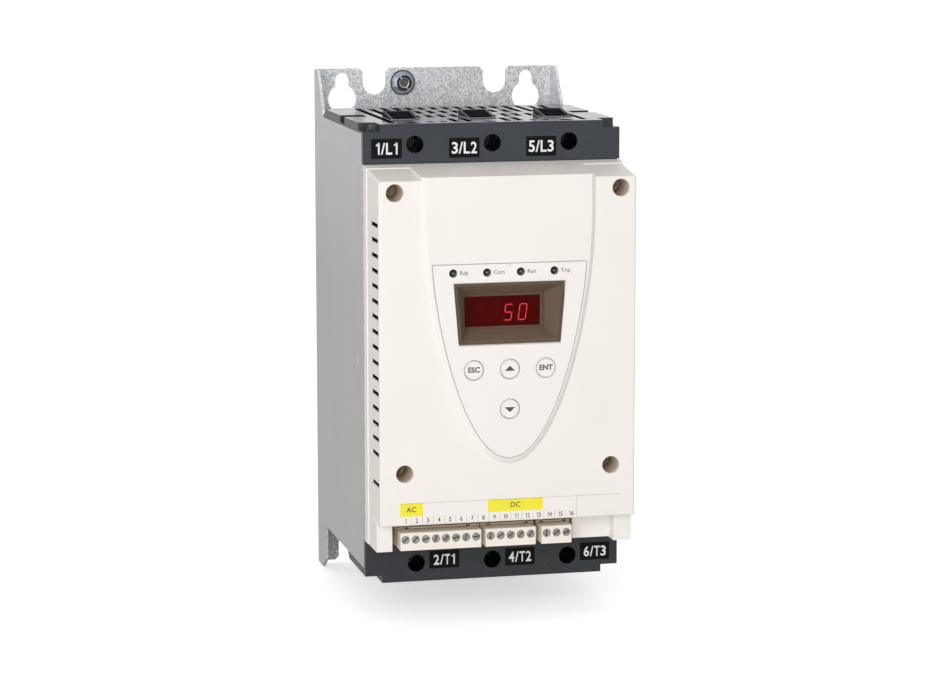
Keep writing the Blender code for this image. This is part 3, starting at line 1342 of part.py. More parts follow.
def build_cover_screws():
    """Cross-headed screws deep in the wells, through the cover into the tray."""
    for number, (x, z) in enumerate(WELLS, 1):
        seat = WELL_FLOOR_DEPTH + GAP
        front = seat + SCREW_HEAD_HEIGHT
        bm = bmesh.new()
        rod(bm, x, z, (TRAY_REAR, seat + SCREW_HEAD_HEIGHT / 2), SCREW_RADIUS, segments=8)
        screw = smooth(place(f"cover_screw_{number}", bm, STEEL))
        bm = bmesh.new()
        rod(bm, x, z, (seat, front), SCREW_HEAD_RADIUS, SCREW_HEAD_RADIUS * 0.8, segments=12)
        combine(screw, bm, "UNION")
        reach = SCREW_HEAD_RADIUS * 0.6
        slit = SCREW_SLIT
        depths = (front - SCREW_SLIT_DEPTH, front + OVERCUT)
        bm = bmesh.new()
        box(bm, (x - reach, x + reach), depths, (z - slit, z + slit))
        combine(screw, bm)
        bm = bmesh.new()
        box(bm, (x - slit, x + slit), depths, (z - reach, z + reach))
        combine(screw, bm)


def build_keypad():
    """The keypad film, the window's lens, the push buttons and the lamps."""
    film_rear = DEPTH - OVERLAY_THICKNESS
    window = [
        (WINDOW_TOP_HALF + 2 * GAP, WINDOW_TOP + 2 * GAP),
        (-WINDOW_TOP_HALF - 2 * GAP, WINDOW_TOP + 2 * GAP),
        (-WINDOW_BOTTOM_HALF - 2 * GAP, WINDOW_BOTTOM - 2 * GAP),
        (WINDOW_BOTTOM_HALF + 2 * GAP, WINDOW_BOTTOM - 2 * GAP),
    ]
    loops = [overlay_outline(), window]
    loops += [arc((x, z), BUTTON_RADIUS + GAP, 0, 342, 19) for x, z in BUTTONS.values()]
    loops += [arc((x, LAMP_Z), LAMP_RADIUS + GAP, 0, 330, 11) for x in LAMP_X]
    film = slab("film", loops, OVERLAY_THICKNESS, facing(film_rear, DEPTH))
    place("keypad_overlay", film, FILM)
    lens_rear = film_rear - WINDOW_THICKNESS
    place("display_window", window_prism(0.0, (lens_rear, DEPTH - LENS_SINK)), SMOKE)
    for x, name in zip(LAMP_X, ("lamp_ready", "lamp_link", "lamp_run", "lamp_trip")):
        bm = bmesh.new()
        rod(bm, x, LAMP_Z, (CONTROL_BOARD_FRONT + GAP, DEPTH - LENS_SINK), LAMP_RADIUS, segments=12)
        lamp = smooth(place(name, bm, LAMP))
        bevel(lamp, 0.0004, 1)
    for name, (x, z) in BUTTONS.items():
        build_button(name, x, z)


def build_button(name, x, z):
    """A push button: cap in the film, a flange behind the cover and a stem towards its switch."""
    bm = bmesh.new()
    depths = (COVER_INNER_FACE - GAP - BUTTON_FLANGE_THICKNESS / 2, DEPTH)
    rod(bm, x, z, depths, BUTTON_RADIUS, segments=20)
    button = smooth(place(name, bm, FILM))
    bm = bmesh.new()
    flange = (COVER_INNER_FACE - GAP - BUTTON_FLANGE_THICKNESS, COVER_INNER_FACE - GAP)
    rod(bm, x, z, flange, BUTTON_RADIUS + BUTTON_FLANGE, segments=16)
    combine(button, bm, "UNION")
    bm = bmesh.new()
    stem_end = CONTROL_BOARD_FRONT + SWITCH_HEIGHT + BUTTON_TRAVEL + GAP
    rod(bm, x, z, (stem_end, flange[1] - GAP), BUTTON_STEM_RADIUS, segments=8)
    combine(button, bm, "UNION")
    set_origin(button, (x, -DEPTH, z))


def build_display():
    """The four-digit display on the control board, behind the funnel."""
    half = DISPLAY_HALF + DISPLAY_MARGIN
    rise = DISPLAY_HEIGHT / 2 + DISPLAY_MARGIN / 2
    z = (DISPLAY_MIDDLE - rise, DISPLAY_MIDDLE + rise)
    depths = (CONTROL_BOARD_FRONT + GAP, DISPLAY_DEPTH - DISPLAY_CLEARANCE)
    box_object("display_module", (-half, half), depths, z, RED)


def build_terminals():
    """Headers on the control board and the plugs that pull off them."""
    for ways, centre in PLUG_CENTRES.items():
        build_header(f"terminal_header_{ways}", ways, centre)
        build_plug(f"terminal_plug_{ways}", ways, centre)


def build_header(name, ways, centre):
    """A shrouded header, open to the front, with keys along its top wall."""
    half = ways * WAY_PITCH / 2 + HEADER_SIDE
    body_rear = PLUG_FACE - PLUG_BODY
    top = PLUG_TOP + HEADER_WALL
    bottom = PLUG_BOTTOM + HEADER_WALL
    depths = (CONTROL_BOARD_FRONT + GAP, body_rear + HEADER_KEY)
    header = box_object(name, (centre - half, centre + half), depths, (bottom, top), CREAM)
    cavity = half - HEADER_SIDE / 2
    front = body_rear + HEADER_KEY + OVERCUT
    nose_rear = body_rear - PLUG_NOSE - GAP
    ceiling = top - HEADER_WALL
    x_pair = (centre - cavity, centre + cavity)
    cut_boxes(header, [(x_pair, (nose_rear, front), (bottom - OVERCUT, ceiling))])
    keys = []
    for index in (0.12, 0.88):
        x = centre + (index - 0.5) * ways * WAY_PITCH
        x_pair = (x - HEADER_KEY_WIDTH / 2, x + HEADER_KEY_WIDTH / 2)
        z = (ceiling - HEADER_WALL / 2, top + OVERCUT)
        keys.append((x_pair, (body_rear - HEADER_KEY / 2, front), z))
    cut_boxes(header, keys)


def build_plug(name, ways, centre):
    """A plug: body with sunk screws in front, wire holes below and a nose in the header."""
    half = ways * WAY_PITCH / 2
    body_rear = PLUG_FACE - PLUG_BODY
    z = (PLUG_BOTTOM, PLUG_TOP - GAP)
    plug = box_object(name, (centre - half, centre + half), (body_rear + GAP, PLUG_FACE), z, CREAM)
    nose = half - PLUG_NOSE_SIDE
    nose_z = (PLUG_BOTTOM + PLUG_NOSE_INSET, PLUG_TOP - PLUG_NOSE_INSET)
    nose_depths = (body_rear - PLUG_NOSE, body_rear + 0.001)
    join_boxes(plug, [((centre - nose, centre + nose), nose_depths, nose_z)])
    screw_z = (PLUG_TOP + PLUG_BOTTOM) / 2 + PLUG_SCREW_RISE
    well_floor = PLUG_FACE - PLUG_WELL_DEPTH
    columns = [centre + (index + 0.5) * WAY_PITCH - half for index in range(ways)]
    bm = bmesh.new()
    for x in columns:
        rod(bm, x, screw_z, (well_floor, PLUG_FACE + OVERCUT), WAY_PITCH * PLUG_WELL_SHARE, segments=10)
    combine(plug, bm)
    bm = bmesh.new()
    for x in columns:
        depths = (well_floor - PLUG_WELL_DEPTH / 2, PLUG_FACE - PLUG_SCREW_SINK)
        rod(bm, x, screw_z, depths, WAY_PITCH * PLUG_SCREW_SHARE, segments=6)
    combine(plug, bm, "UNION")
    entries = []
    depth = PLUG_FACE - PLUG_BODY * 0.55
    half_wire = WAY_PITCH * WIRE_SHARE / 2
    depths = (depth - WIRE_DEPTH / 2, depth + WIRE_DEPTH / 2)
    z = (PLUG_BOTTOM - OVERCUT, PLUG_BOTTOM + WIRE_HEIGHT)
    for x in columns:
        entries.append(((x - half_wire, x + half_wire), depths, z))
    cut_boxes(plug, entries)
    set_origin(plug, (centre, -PLUG_FACE, (PLUG_BOTTOM + PLUG_TOP) / 2))


def build_network_socket():
    """The network socket behind the bay wall, with its mouth facing down."""
    centre = (SOCKET_BAY_LEFT + RIGHT_LEG_INNER) / 2 + SOCKET_OVERHANG
    half = SOCKET_WIDTH / 2
    rear = CONTROL_BOARD_FRONT + GAP
    low = CONTROL_BOARD_BOTTOM - SOCKET_OVERHANG
    top = low + SOCKET_LENGTH
    x = (centre - half, centre + half)
    socket = box_object("network_socket", x, (rear, rear + SOCKET_DEPTH), (low, top), DARK)
    mouth = SOCKET_MOUTH / 2
    depths = (rear + SOCKET_WALL, rear + SOCKET_WALL + SOCKET_MOUTH_HEIGHT)
    cut_boxes(socket, [((centre - mouth, centre + mouth), depths, (low - OVERCUT, top - SOCKET_WALL))])


build_chassis()
build_earth_screw()
build_side_screws()
build_heat_sink()
build_modules()
build_conductors()
build_current_transformers()
build_top_block()
build_bottom_block()
build_tray()
build_power_board()
build_control_board()
build_front_cover()
build_cover_screws()
build_keypad()
build_display()
build_terminals()
build_network_socket()
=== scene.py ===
"""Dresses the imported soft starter: finishes, printed marks, small fittings, camera and light."""

import logging
import math
from dataclasses import dataclass
from enum import Enum
from functools import cache
from typing import Optional, Sequence

import bmesh
import bpy
from mathutils import Euler, Matrix, Vector


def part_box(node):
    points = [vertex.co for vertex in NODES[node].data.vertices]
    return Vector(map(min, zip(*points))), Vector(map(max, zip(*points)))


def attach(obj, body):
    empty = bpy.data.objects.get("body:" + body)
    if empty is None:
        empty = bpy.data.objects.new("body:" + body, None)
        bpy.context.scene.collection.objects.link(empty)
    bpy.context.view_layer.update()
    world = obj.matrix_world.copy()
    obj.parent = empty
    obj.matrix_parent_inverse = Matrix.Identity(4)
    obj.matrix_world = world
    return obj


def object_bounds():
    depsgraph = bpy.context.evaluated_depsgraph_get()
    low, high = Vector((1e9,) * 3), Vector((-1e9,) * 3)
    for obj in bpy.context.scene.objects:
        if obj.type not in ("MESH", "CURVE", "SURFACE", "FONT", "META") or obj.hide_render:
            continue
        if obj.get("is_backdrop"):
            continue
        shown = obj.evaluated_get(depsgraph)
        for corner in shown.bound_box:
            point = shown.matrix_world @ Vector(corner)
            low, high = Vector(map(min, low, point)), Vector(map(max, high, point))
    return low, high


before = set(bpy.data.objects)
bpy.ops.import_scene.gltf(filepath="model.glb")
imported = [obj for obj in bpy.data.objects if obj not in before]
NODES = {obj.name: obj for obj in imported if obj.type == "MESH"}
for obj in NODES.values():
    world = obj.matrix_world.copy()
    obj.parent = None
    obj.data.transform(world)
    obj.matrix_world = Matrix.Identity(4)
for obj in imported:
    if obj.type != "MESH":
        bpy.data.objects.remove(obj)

log = logging.getLogger("soft_starter")

HOUSING = "housing"
PHOTO_WIDTH = 930
INK_HEIGHT = 0.00005
LETTER_DEPTH = 0.01
PHASES = (1, 2, 3)
SHARP_ANGLE = math.radians(35)
FLAT_ANGLE = math.radians(0.5)
WELD_DISTANCE = 0.000005
Colour = tuple[float, float, float]
Point = tuple[float, float, float]
Span = tuple[float, float]
Mesh = bmesh.types.BMesh
Socket = bpy.types.NodeSocket
Corners = list[bmesh.types.BMVert]


def linear(*values: int) -> Colour:
    """Turns an 8-bit display colour into the linear values that shaders take.

    Args:
        *values: Red, green and blue, from 0 to 255.

    Returns:
        The three linear values.
    """
    shares = (value / 255 for value in values)
    return tuple(s / 12.92 if s <= 0.04045 else ((s + 0.055) / 1.055) ** 2.4 for s in shares)


def shade(colour: Colour, factor: float) -> Colour:
    """Gives a colour made darker or lighter by a factor."""
    return tuple(min(1.0, part * factor) for part in colour)


@dataclass(frozen=True)
class Zone:
    """A box painted over, mostly with painted shade in a shadowed inside, on both sides of the middle plane.

    Its edge blends over fade, in metres, and shine is the share of the gloss that is left in it.
    """

    low: Point
    high: Point
    colour: Colour = (0.0, 0.0, 0.0)
    fade: float = 0.0003
    shine: float = 0.15


class Graph:
    """A material with short calls for the nodes that the finishes share."""

    def __init__(self, name: str) -> None:
        """Starts a material with an empty Principled shader.

        Args:
            name: The material's name.
        """
        self.material = bpy.data.materials.new(name)
        self.material.use_nodes = True
        self.tree = self.material.node_tree
        self.shader = self.tree.nodes["Principled BSDF"]
        self.place = self.tree.nodes.new("ShaderNodeTexCoord").outputs["Object"]

    def add(self, kind: str, **inputs: object) -> bpy.types.Node:
        """Adds a node and sets or links its inputs.

        Args:
            kind: The node's Blender type, without the ShaderNode prefix.
            **inputs: Input names, with underscores for spaces, and a value or an output socket.

        Returns:
            The new node.
        """
        node = self.tree.nodes.new(f"ShaderNode{kind}")
        for name, value in inputs.items():
            self.feed(node.inputs[name.replace("_", " ")], value)
        return node

    def feed(self, socket: Socket, value: object) -> None:
        """Links an output to a socket, or sets the socket's own value.

        Args:
            socket: The input socket.
            value: An output socket, or a value of the input's kind.
        """
        if isinstance(value, Socket):
            self.tree.links.new(value, socket)
        elif isinstance(value, tuple) and len(value) == 3 and socket.type == "RGBA":
            socket.default_value = (*value, 1.0)
        else:
            socket.default_value = value

    def set(self, **inputs: object) -> None:
        """Sets or links inputs of the Principled shader."""
        for name, value in inputs.items():
            self.feed(self.shader.inputs[name.replace("_", " ")], value)

    def math(self, operation: str, *values: object, kind: str = "Math", output: str = "Value") -> Socket:
        """Adds an operation.

        Args:
            operation: The operation's name.
            *values: Its inputs, in order.
            kind: Math for numbers or VectorMath for vectors.
            output: The name of the output to give.

        Returns:
            The result's socket.
        """
        node = self.tree.nodes.new(f"ShaderNode{kind}")
        node.operation = operation
        for socket, value in zip(node.inputs, values):
            self.feed(socket, value)
        return node.outputs[output]

    def vector(self, operation: str, *values: object, output: str = "Vector") -> Socket:
        """Adds a vector operation and gives its result."""
        return self.math(operation, *values, kind="VectorMath", output=output)

    def noise(self, scale: float, detail: float = 2.0, rough: float = 0.5,
              at: Optional[Socket] = None) -> Socket:
        """Adds noise and gives its value.

        Args:
            scale: Cells for each metre.
            detail: Octaves.
            rough: How strong the finer octaves are.
            at: Coordinates, or the object's own if left out.

        Returns:
            The noise value's socket.
        """
        node = self.add("TexNoise", Scale=scale, Detail=detail, Roughness=rough, Vector=at or self.place)
        return node.outputs["Fac"]

    def spread(self, value: Socket, low: float, high: float, start: float = 0.3,
               end: float = 0.7) -> Socket:
        """Maps a value's middle stretch to a range.

        Args:
            value: The value.
            low: The result at the stretch's start.
            high: The result at its end.
            start: Where the stretch starts.
            end: Where it ends.

        Returns:
            The result's socket.
        """
        node = self.add("MapRange", Value=value, From_Min=start, From_Max=end, To_Min=low, To_Max=high)
        return node.outputs["Result"]

    def blend(self, factor: Socket, first: object, second: object) -> Socket:
        """Mixes two colours.

        Args:
            factor: The second colour's share.
            first: The colour at 0.
            second: The colour at 1.

        Returns:
            The mixed colour's socket.
        """
        node = self.tree.nodes.new("ShaderNodeMix")
        node.data_type = "RGBA"
        self.feed(node.inputs[0], factor)
        self.feed(node.inputs[6], first)
        self.feed(node.inputs[7], second)
        return node.outputs[2]

    def bump(self, height: Socket, strength: float, distance: float) -> None:
        """Bumps the surface by a height."""
        node = self.add("Bump", Height=height, Strength=strength, Distance=distance)
        self.set(Normal=node.outputs["Normal"])

    def worn(self, radius: float) -> Socket:
        """Gives 1 at a sharp edge and 0 on a flat, broken up by noise.

        Args:
            radius: How far from the edge the wear reaches, in metres.

        Returns:
            The share's socket.
        """
        rounded = self.add("Bevel", Radius=radius)
        rounded.samples = 4
        plain = self.add("NewGeometry").outputs["Normal"]
        turn = self.vector("DOT_PRODUCT", rounded.outputs["Normal"], plain, output="Value")
        patchy = self.spread(self.noise(420.0, 3.0, 0.6), 0.25, 1.0)
        return self.math("MULTIPLY", self.spread(turn, 1.0, 0.0, 0.8, 0.98), patchy)

    def inside(self, zone: Zone) -> Socket:
        """Gives 1 inside a zone and 0 outside it, with X taken as the distance from the middle plane.

        Args:
            zone: The zone.

        Returns:
            The share's socket.
        """
        low, high = Vector(zone.low), Vector(zone.high)
        parts = self.add("SeparateXYZ", Vector=self.place)
        x = self.math("ABSOLUTE", parts.outputs["X"])
        place = self.add("CombineXYZ", X=x, Y=parts.outputs["Y"], Z=parts.outputs["Z"]).outputs["Vector"]
        away = self.vector("ABSOLUTE", self.vector("SUBTRACT", place, tuple((low + high) / 2)))
        past = self.add("SeparateXYZ", Vector=self.vector("SUBTRACT", away, tuple((high - low) / 2)))
        worst = self.math("MAXIMUM", past.outputs["X"], past.outputs["Y"])
        worst = self.math("MAXIMUM", worst, past.outputs["Z"])
        return self.spread(worst, 0.0, 1.0, 0.0, -zone.fade)


@dataclass(frozen=True)
class Finish:
    """A look with a name and a main colour."""

    name: str
    colour: Colour

    def material(self) -> bpy.types.Material:
        """Builds the material."""
        raise NotImplementedError


@dataclass(frozen=True)
class Moulding(Finish):
    """Moulded plastic: a faint grain from the tool, slow cloudiness and softly varied gloss."""

    roughness: float = 0.45
    grain: float = 2600.0
    relief: float = 0.12
    mottle: float = 0.03
    clear: float = 0.0
    wear: float = 0.0
    zones: tuple[Zone, ...] = ()

    def material(self) -> bpy.types.Material:
        """Builds the material."""
        g = Graph(self.name)
        cloud = g.spread(g.noise(38.0, 3.0), 0.0, 1.0)
        fine = g.noise(self.grain, 2.0, 0.6)
        tint = g.blend(cloud, shade(self.colour, 1 - self.mottle), shade(self.colour, 1 + self.mottle))
        if self.wear:
            share = g.math("MULTIPLY", g.worn(0.0005), self.wear)
            tint = g.blend(share, tint, shade(self.colour, 2.6))
        shine = 0.45
        # Each zone paints its colour over the tint, mostly painted shade, and takes most of the gloss away.
        for zone in self.zones:
            share = g.inside(zone)
            tint = g.blend(share, tint, zone.colour)
            shine = g.math("MULTIPLY", shine, g.spread(share, 1.0, zone.shine, 0.0, 1.0))
        dull = g.spread(g.noise(90.0, 4.0, 0.6), self.roughness - 0.03, self.roughness + 0.05)
        gloss = g.math("ADD", g.spread(fine, -0.04, 0.04), dull)
        g.set(Base_Color=tint, Roughness=gloss, Specular_IOR_Level=shine, Coat_Weight=self.clear)
        g.bump(fine, self.relief, 0.00008)
        return g.material


@dataclass(frozen=True)
class Galvanised(Finish):
    """Hot-dipped sheet: crystals of zinc, from its colour to its light one, with a dull frost on them.

    Its side panels are calmer, with painted shade, by side_shade, and painted light towards the top, by
    top_light.
    """

    light: Colour
    panel: Zone
    crystal: float = 1500.0
    roughness: float = 0.4
    side_shade: float = 0.76
    top_light: float = 0.26

    def material(self) -> bpy.types.Material:
        """Builds the material."""
        g = Graph(self.name)
        warp = g.add("TexNoise", Scale=1100.0, Detail=2.0, Vector=g.place).outputs["Color"]
        moved = g.vector("MULTIPLY_ADD", warp, (0.0008, 0.0008, 0.0008), g.place)
        cells = g.add("TexVoronoi", Scale=self.crystal, Vector=moved)
        large = g.add("TexVoronoi", Scale=self.crystal * 0.45, Vector=moved)
        small = g.spread(cells.outputs["Color"], 0.0, 0.66, 0.0, 1.0)
        hue = g.math("ADD", small, g.spread(large.outputs["Color"], 0.0, 0.34, 0.0, 1.0))
        tint = g.blend(g.spread(hue, 0.0, 1.0, 0.28, 0.7), self.colour, self.light)
        even = g.spread(hue, 0.38, 0.62, 0.0, 1.0)
        # Painted shade: the side panels' calm crystals are darkened by the factor side_shade.
        calm_shaded = g.blend(even, shade(self.colour, self.side_shade), shade(self.light, self.side_shade))
        height = g.add("SeparateXYZ", Vector=g.place).outputs["Z"]
        # Painted light: the side panels grow paler towards the top.
        calm_shaded = g.blend(g.spread(height, 0.0, self.top_light, 0.03, 0.1), calm_shaded, self.light)
        tint = g.blend(g.inside(self.panel), tint, calm_shaded)
        tint = g.blend(g.math("MULTIPLY", g.worn(0.0004), 0.5), tint, shade(self.light, 1.15))
        streak = g.noise(60.0, 4.0, 0.6, g.vector("MULTIPLY", g.place, (1.0, 1.0, 0.25)))
        tint = g.blend(g.spread(streak, 0.0, 0.14), tint, shade(self.colour, 0.8))
        frost = g.noise(2600.0, 3.0, 0.7)
        gloss = g.spread(frost, self.roughness - 0.08, self.roughness + 0.12)
        g.set(Base_Color=tint, Roughness=gloss, Metallic=0.35)
        g.bump(frost, 0.22, 0.00005)
        return g.material


@dataclass(frozen=True)
class Metal(Finish):
    """Plain or plated metal, brushed or drawn along one axis, with slightly stained patches."""

    roughness: float = 0.3
    stretch: Point = (1.0, 1.0, 1.0)
    relief: float = 0.15

    def material(self) -> bpy.types.Material:
        """Builds the material."""
        g = Graph(self.name)
        lines = g.noise(900.0, 3.0, 0.6, g.vector("MULTIPLY", g.place, self.stretch))
        patches = g.noise(140.0, 4.0, 0.6)
        tint = g.blend(g.spread(patches, 0.0, 1.0), shade(self.colour, 0.82), shade(self.colour, 1.06))
        tint = g.blend(g.math("MULTIPLY", g.worn(0.0003), 0.6), tint, shade(self.colour, 1.3))
        gloss = g.spread(lines, self.roughness - 0.08, self.roughness + 0.1)
        g.set(Base_Color=tint, Roughness=gloss, Metallic=1.0)
        g.bump(lines, self.relief, 0.00006)
        return g.material


@dataclass(frozen=True)
class Ink(Finish):
    """Screen-printed ink: nearly even, with a slightly uneven gloss."""

    roughness: float = 0.5
    shine: float = 0.4

    def material(self) -> bpy.types.Material:
        """Builds the material."""
        g = Graph(self.name)
        fine = g.noise(3200.0, 2.0)
        tint = g.blend(g.spread(fine, 0.0, 1.0), shade(self.colour, 0.95), shade(self.colour, 1.05))
        gloss = g.spread(fine, self.roughness - 0.06, self.roughness + 0.06)
        g.set(Base_Color=tint, Roughness=gloss, Specular_IOR_Level=self.shine)
        g.bump(fine, 0.08, 0.00004)
        return g.material


@dataclass(frozen=True)
class Glow(Finish):
    """A lit surface, such as a display segment."""

    strength: float

    def material(self) -> bpy.types.Material:
        """Builds the material."""
        g = Graph(self.name)
        fine = g.noise(2500.0, 1.0)
        g.set(
            Base_Color=g.blend(g.spread(fine, 0.0, 1.0), shade(self.colour, 0.9), self.colour),
            Emission_Color=self.colour,
            Emission_Strength=g.spread(fine, self.strength * 0.92, self.strength),
            Roughness=0.4,
        )
        return g.material


@dataclass(frozen=True)
class SmokedPane(Finish):
    """A clear pane with a faint brown tint and fine dust on it."""

    alpha: float

    def material(self) -> bpy.types.Material:
        """Builds the material."""
        g = Graph(self.name)
        dust = g.noise(700.0, 4.0, 0.7)
        g.set(
            Base_Color=g.blend(g.spread(dust, 0.0, 1.0), self.colour, shade(self.colour, 1.3)),
            Roughness=g.spread(dust, 0.06, 0.14),
            Alpha=g.spread(dust, self.alpha * 0.8, self.alpha * 1.2),
            Specular_IOR_Level=0.02,
        )
        return g.material


@dataclass(frozen=True)
class Board(Finish):
    """A lacquered circuit board with a faint weave and copper runs under the green."""

    def material(self) -> bpy.types.Material:
        """Builds the material."""
        g = Graph(self.name)
        flat = g.vector("MULTIPLY", g.place, (1.0, 0.0, 1.0))
        runs = g.add("TexBrick", Scale=150.0, Mortar_Size=0.06, Vector=flat)
        g.feed(runs.inputs["Color1"], self.colour)
        g.feed(runs.inputs["Color2"], shade(self.colour, 1.25))
        g.feed(runs.inputs["Mortar"], shade(self.colour, 1.9))
        weave = g.noise(1400.0, 2.0)
        g.set(Base_Color=runs.outputs["Color"], Roughness=g.spread(weave, 0.26, 0.38))
        g.bump(runs.outputs["Fac"], 0.1, 0.00005)
        return g.material


# Painted shade: SHADOW and HALF_SHADE darken the blocks' slots, holes, cable entries and raised boxes, with
# most gloss taken away.
SHADOW = linear(10, 11, 12)
HALF_SHADE = linear(48, 52, 58)
BROWN = linear(135, 116, 98)
# Painted shade down the cover's screw wells.
WELL_SHADE = linear(214, 198, 180)
TOP_SHADE_ZONES = (
    Zone((-0.0530, -0.1320, 0.0900), (0.0530, -0.0310, 0.1136), SHADOW),
    Zone((-0.0100, -0.1145, 0.1140), (0.0100, -0.0850, 0.1215), HALF_SHADE, shine=0.02),
    Zone((0.0290, -0.1145, 0.1140), (0.0490, -0.0850, 0.1215), HALF_SHADE, shine=0.02),
    Zone((-0.0059, -0.1098, 0.1100), (0.0059, -0.0906, 0.1164), SHADOW),
    Zone((0.0331, -0.1098, 0.1100), (0.0449, -0.0906, 0.1164), SHADOW),
)
BOTTOM_SHADE_ZONES = (Zone((-0.0530, -0.1320, -0.1151), (0.0530, -0.0310, -0.0950), SHADOW),)
# The cover's inside and screw wells take painted shade; the funnel walls take the smoked window's brown
# tint.
COVER_SHADE_AND_TINT_ZONES = (
    Zone((-0.0639, -0.1640, -0.0790), (0.0639, -0.1335, 0.0720), linear(34, 30, 27)),
    Zone((0.0503, -0.1654, 0.0775), (0.0623, -0.1450, 0.0895), WELL_SHADE, fade=0.0016),
    Zone((0.0459, -0.1654, -0.0597), (0.0579, -0.1450, -0.0477), WELL_SHADE, fade=0.0016),
    Zone((-0.0276, -0.1692, 0.0089), (0.0276, -0.1480, 0.0389), BROWN, fade=0.0001),
)
SIDE_PANEL = Zone((0.0643, -0.1400, -0.1400), (0.0660, 0.0100, 0.1400))

WHITE = Moulding(
    "warm_white_moulding", linear(249, 246, 241), 0.42, relief=0.1, mottle=0.01, zones=COVER_SHADE_AND_TINT_ZONES
)
FILM = Moulding(
    "keypad_film", linear(250, 247, 243), 0.36, grain=3600.0, relief=0.06, mottle=0.008, clear=0.05
)
TOP_SLATE = Moulding(
    "top_block_moulding", linear(60, 65, 72), 0.12, grain=1900.0, relief=0.04, mottle=0.07, wear=0.3,
    zones=TOP_SHADE_ZONES,
)
BOTTOM_SLATE = Moulding(
    "bottom_block_moulding", linear(47, 51, 57), 0.3, grain=1900.0, mottle=0.07, wear=0.1,
    zones=BOTTOM_SHADE_ZONES,
)
BLACK = Moulding("black_moulding", linear(32, 33, 36), grain=1700.0, relief=0.25, mottle=0.08, wear=0.3)
CREAM = Moulding("cream_terminal_moulding", linear(250, 243, 232), 0.4, grain=2400.0, mottle=0.02)
TAN = Moulding("tan_header_moulding", linear(216, 189, 160), grain=2400.0, mottle=0.04)
BLUE = Moulding(
    "relay_case_moulding", linear(62, 108, 178), 0.4, grain=2000.0, relief=0.15, mottle=0.05, wear=0.2
)
MODULE = Moulding("display_module_case", shade(BROWN, 0.7), 0.5, grain=2000.0, relief=0.05)
LENS = Moulding("dark_lens", linear(22, 21, 21), 0.2, grain=1500.0, relief=0.02, mottle=0.02, clear=0.5)
ZINC = Galvanised("galvanised_sheet", linear(188, 193, 201), linear(255, 255, 255), SIDE_PANEL)
PLATED = Metal("zinc_plated_steel", linear(206, 210, 214), 0.24)
WASHER_STEEL = Metal("washer_steel", linear(172, 178, 184), 0.28)
# Painted shade: dark rings at the earth screw's head edge and washer rim.
EDGE_SHADE_STEEL = Metal("painted_edge_shade_steel", linear(62, 68, 76))
RECESS_STEEL = Metal("passivated_recess", linear(122, 106, 100), 0.28)
TERMINAL_STEEL = Metal("terminal_screw_steel", linear(176, 183, 178))
# Painted shade: darkened steel for the clamp screws deep in their holes.
SHADED_SCREW_STEEL = Metal("shadowed_screw_steel", linear(58, 60, 60), 0.45)
# Painted shade: darker, brownish steel for the cover screws down their wells.
SHADED_WELL_SCREW_STEEL = Metal("shaded_cover_screw_steel", linear(168, 150, 130), 0.55)
BRIGHT_STEEL = Metal("bright_screw_steel", linear(240, 241, 242), 0.35)
CLIP_BRONZE = Metal("clip_bronze", linear(88, 76, 62), 0.5)
EXTRUSION = Metal("extruded_aluminium", linear(196, 198, 201), 0.38, stretch=(1.0, 1.0, 0.02))
COPPER = Metal("copper_bar", linear(206, 138, 106), stretch=(1.0, 1.0, 0.03))
CIRCUIT = Board("circuit_board", linear(34, 92, 58))
LABEL = Ink("black_label", linear(14, 15, 17), shine=0.1)
WHITE_INK = Ink("white_ink", linear(240, 242, 242))
GREY_INK = Ink("grey_ink", linear(84, 82, 80))
PALE_INK = Ink("pale_grey_ink", linear(190, 182, 176))
YELLOW_INK = Ink("yellow_ink", linear(254, 240, 58))
OLIVE_INK = Ink("olive_window_edge", linear(88, 79, 63))
# Painted shade: a dark disc behind each plug screw's slot.
SLOT_SHADE_INK = Ink("screw_slot_shadow", linear(38, 38, 36))
LENS_INK = Ink("lens_centre", linear(120, 118, 116), 0.3)
DISPLAY_INK = Ink("red_display_face", linear(84, 0, 3), shine=0.03)
UNLIT_INK = Ink("unlit_segment", linear(116, 8, 12), shine=0.03)
LIT = Glow("lit_segment", linear(236, 46, 64), 0.75)
PANE = SmokedPane("smoked_pane", linear(60, 48, 38), 0.05)
LAMP_COLOUR = (0.965, 0.985, 1.0)
DIM_SKY = (1.0, 0.945, 0.9)
FLOOR_DARK = (0.88, 0.88, 0.88)
FLOOR_LIGHT = (0.9, 0.9, 0.9)
PURE_WHITE = (1.0, 1.0, 1.0)


@cache
def material_of(finish: Finish) -> bpy.types.Material:
    """Makes a finish's material the first time and gives the same one after that."""
    return finish.material()


def dress(node: str, finish: Finish, edge: float = 0.0, segments: int = 2) -> None:
    """Gives a CAD node its finish and, if asked, rounds its edges by modifiers with its mesh left as it is.

    Args:
        node: The node's name.
        finish: The finish.
        edge: The width of the rounding, in metres, or 0 for none.
        segments: Faces across each rounded edge.
    """
    obj = NODES[node]
    obj.data.materials.clear()
    obj.data.materials.append(material_of(finish))
    if not edge:
        return
    weld = obj.modifiers.new("weld", "WELD")
    weld.merge_threshold = WELD_DISTANCE
    flat = obj.modifiers.new("flat", "DECIMATE")
    flat.decimate_type = "DISSOLVE"
    flat.angle_limit = FLAT_ANGLE
    bevel = obj.modifiers.new("edges", "BEVEL")
    bevel.width = edge
    bevel.segments = segments
    bevel.limit_method = "ANGLE"
    bevel.angle_limit = SHARP_ANGLE
    shading = obj.modifiers.new("shading", "WEIGHTED_NORMAL")
    shading.mode = "FACE_AREA"
    shading.keep_sharp = False


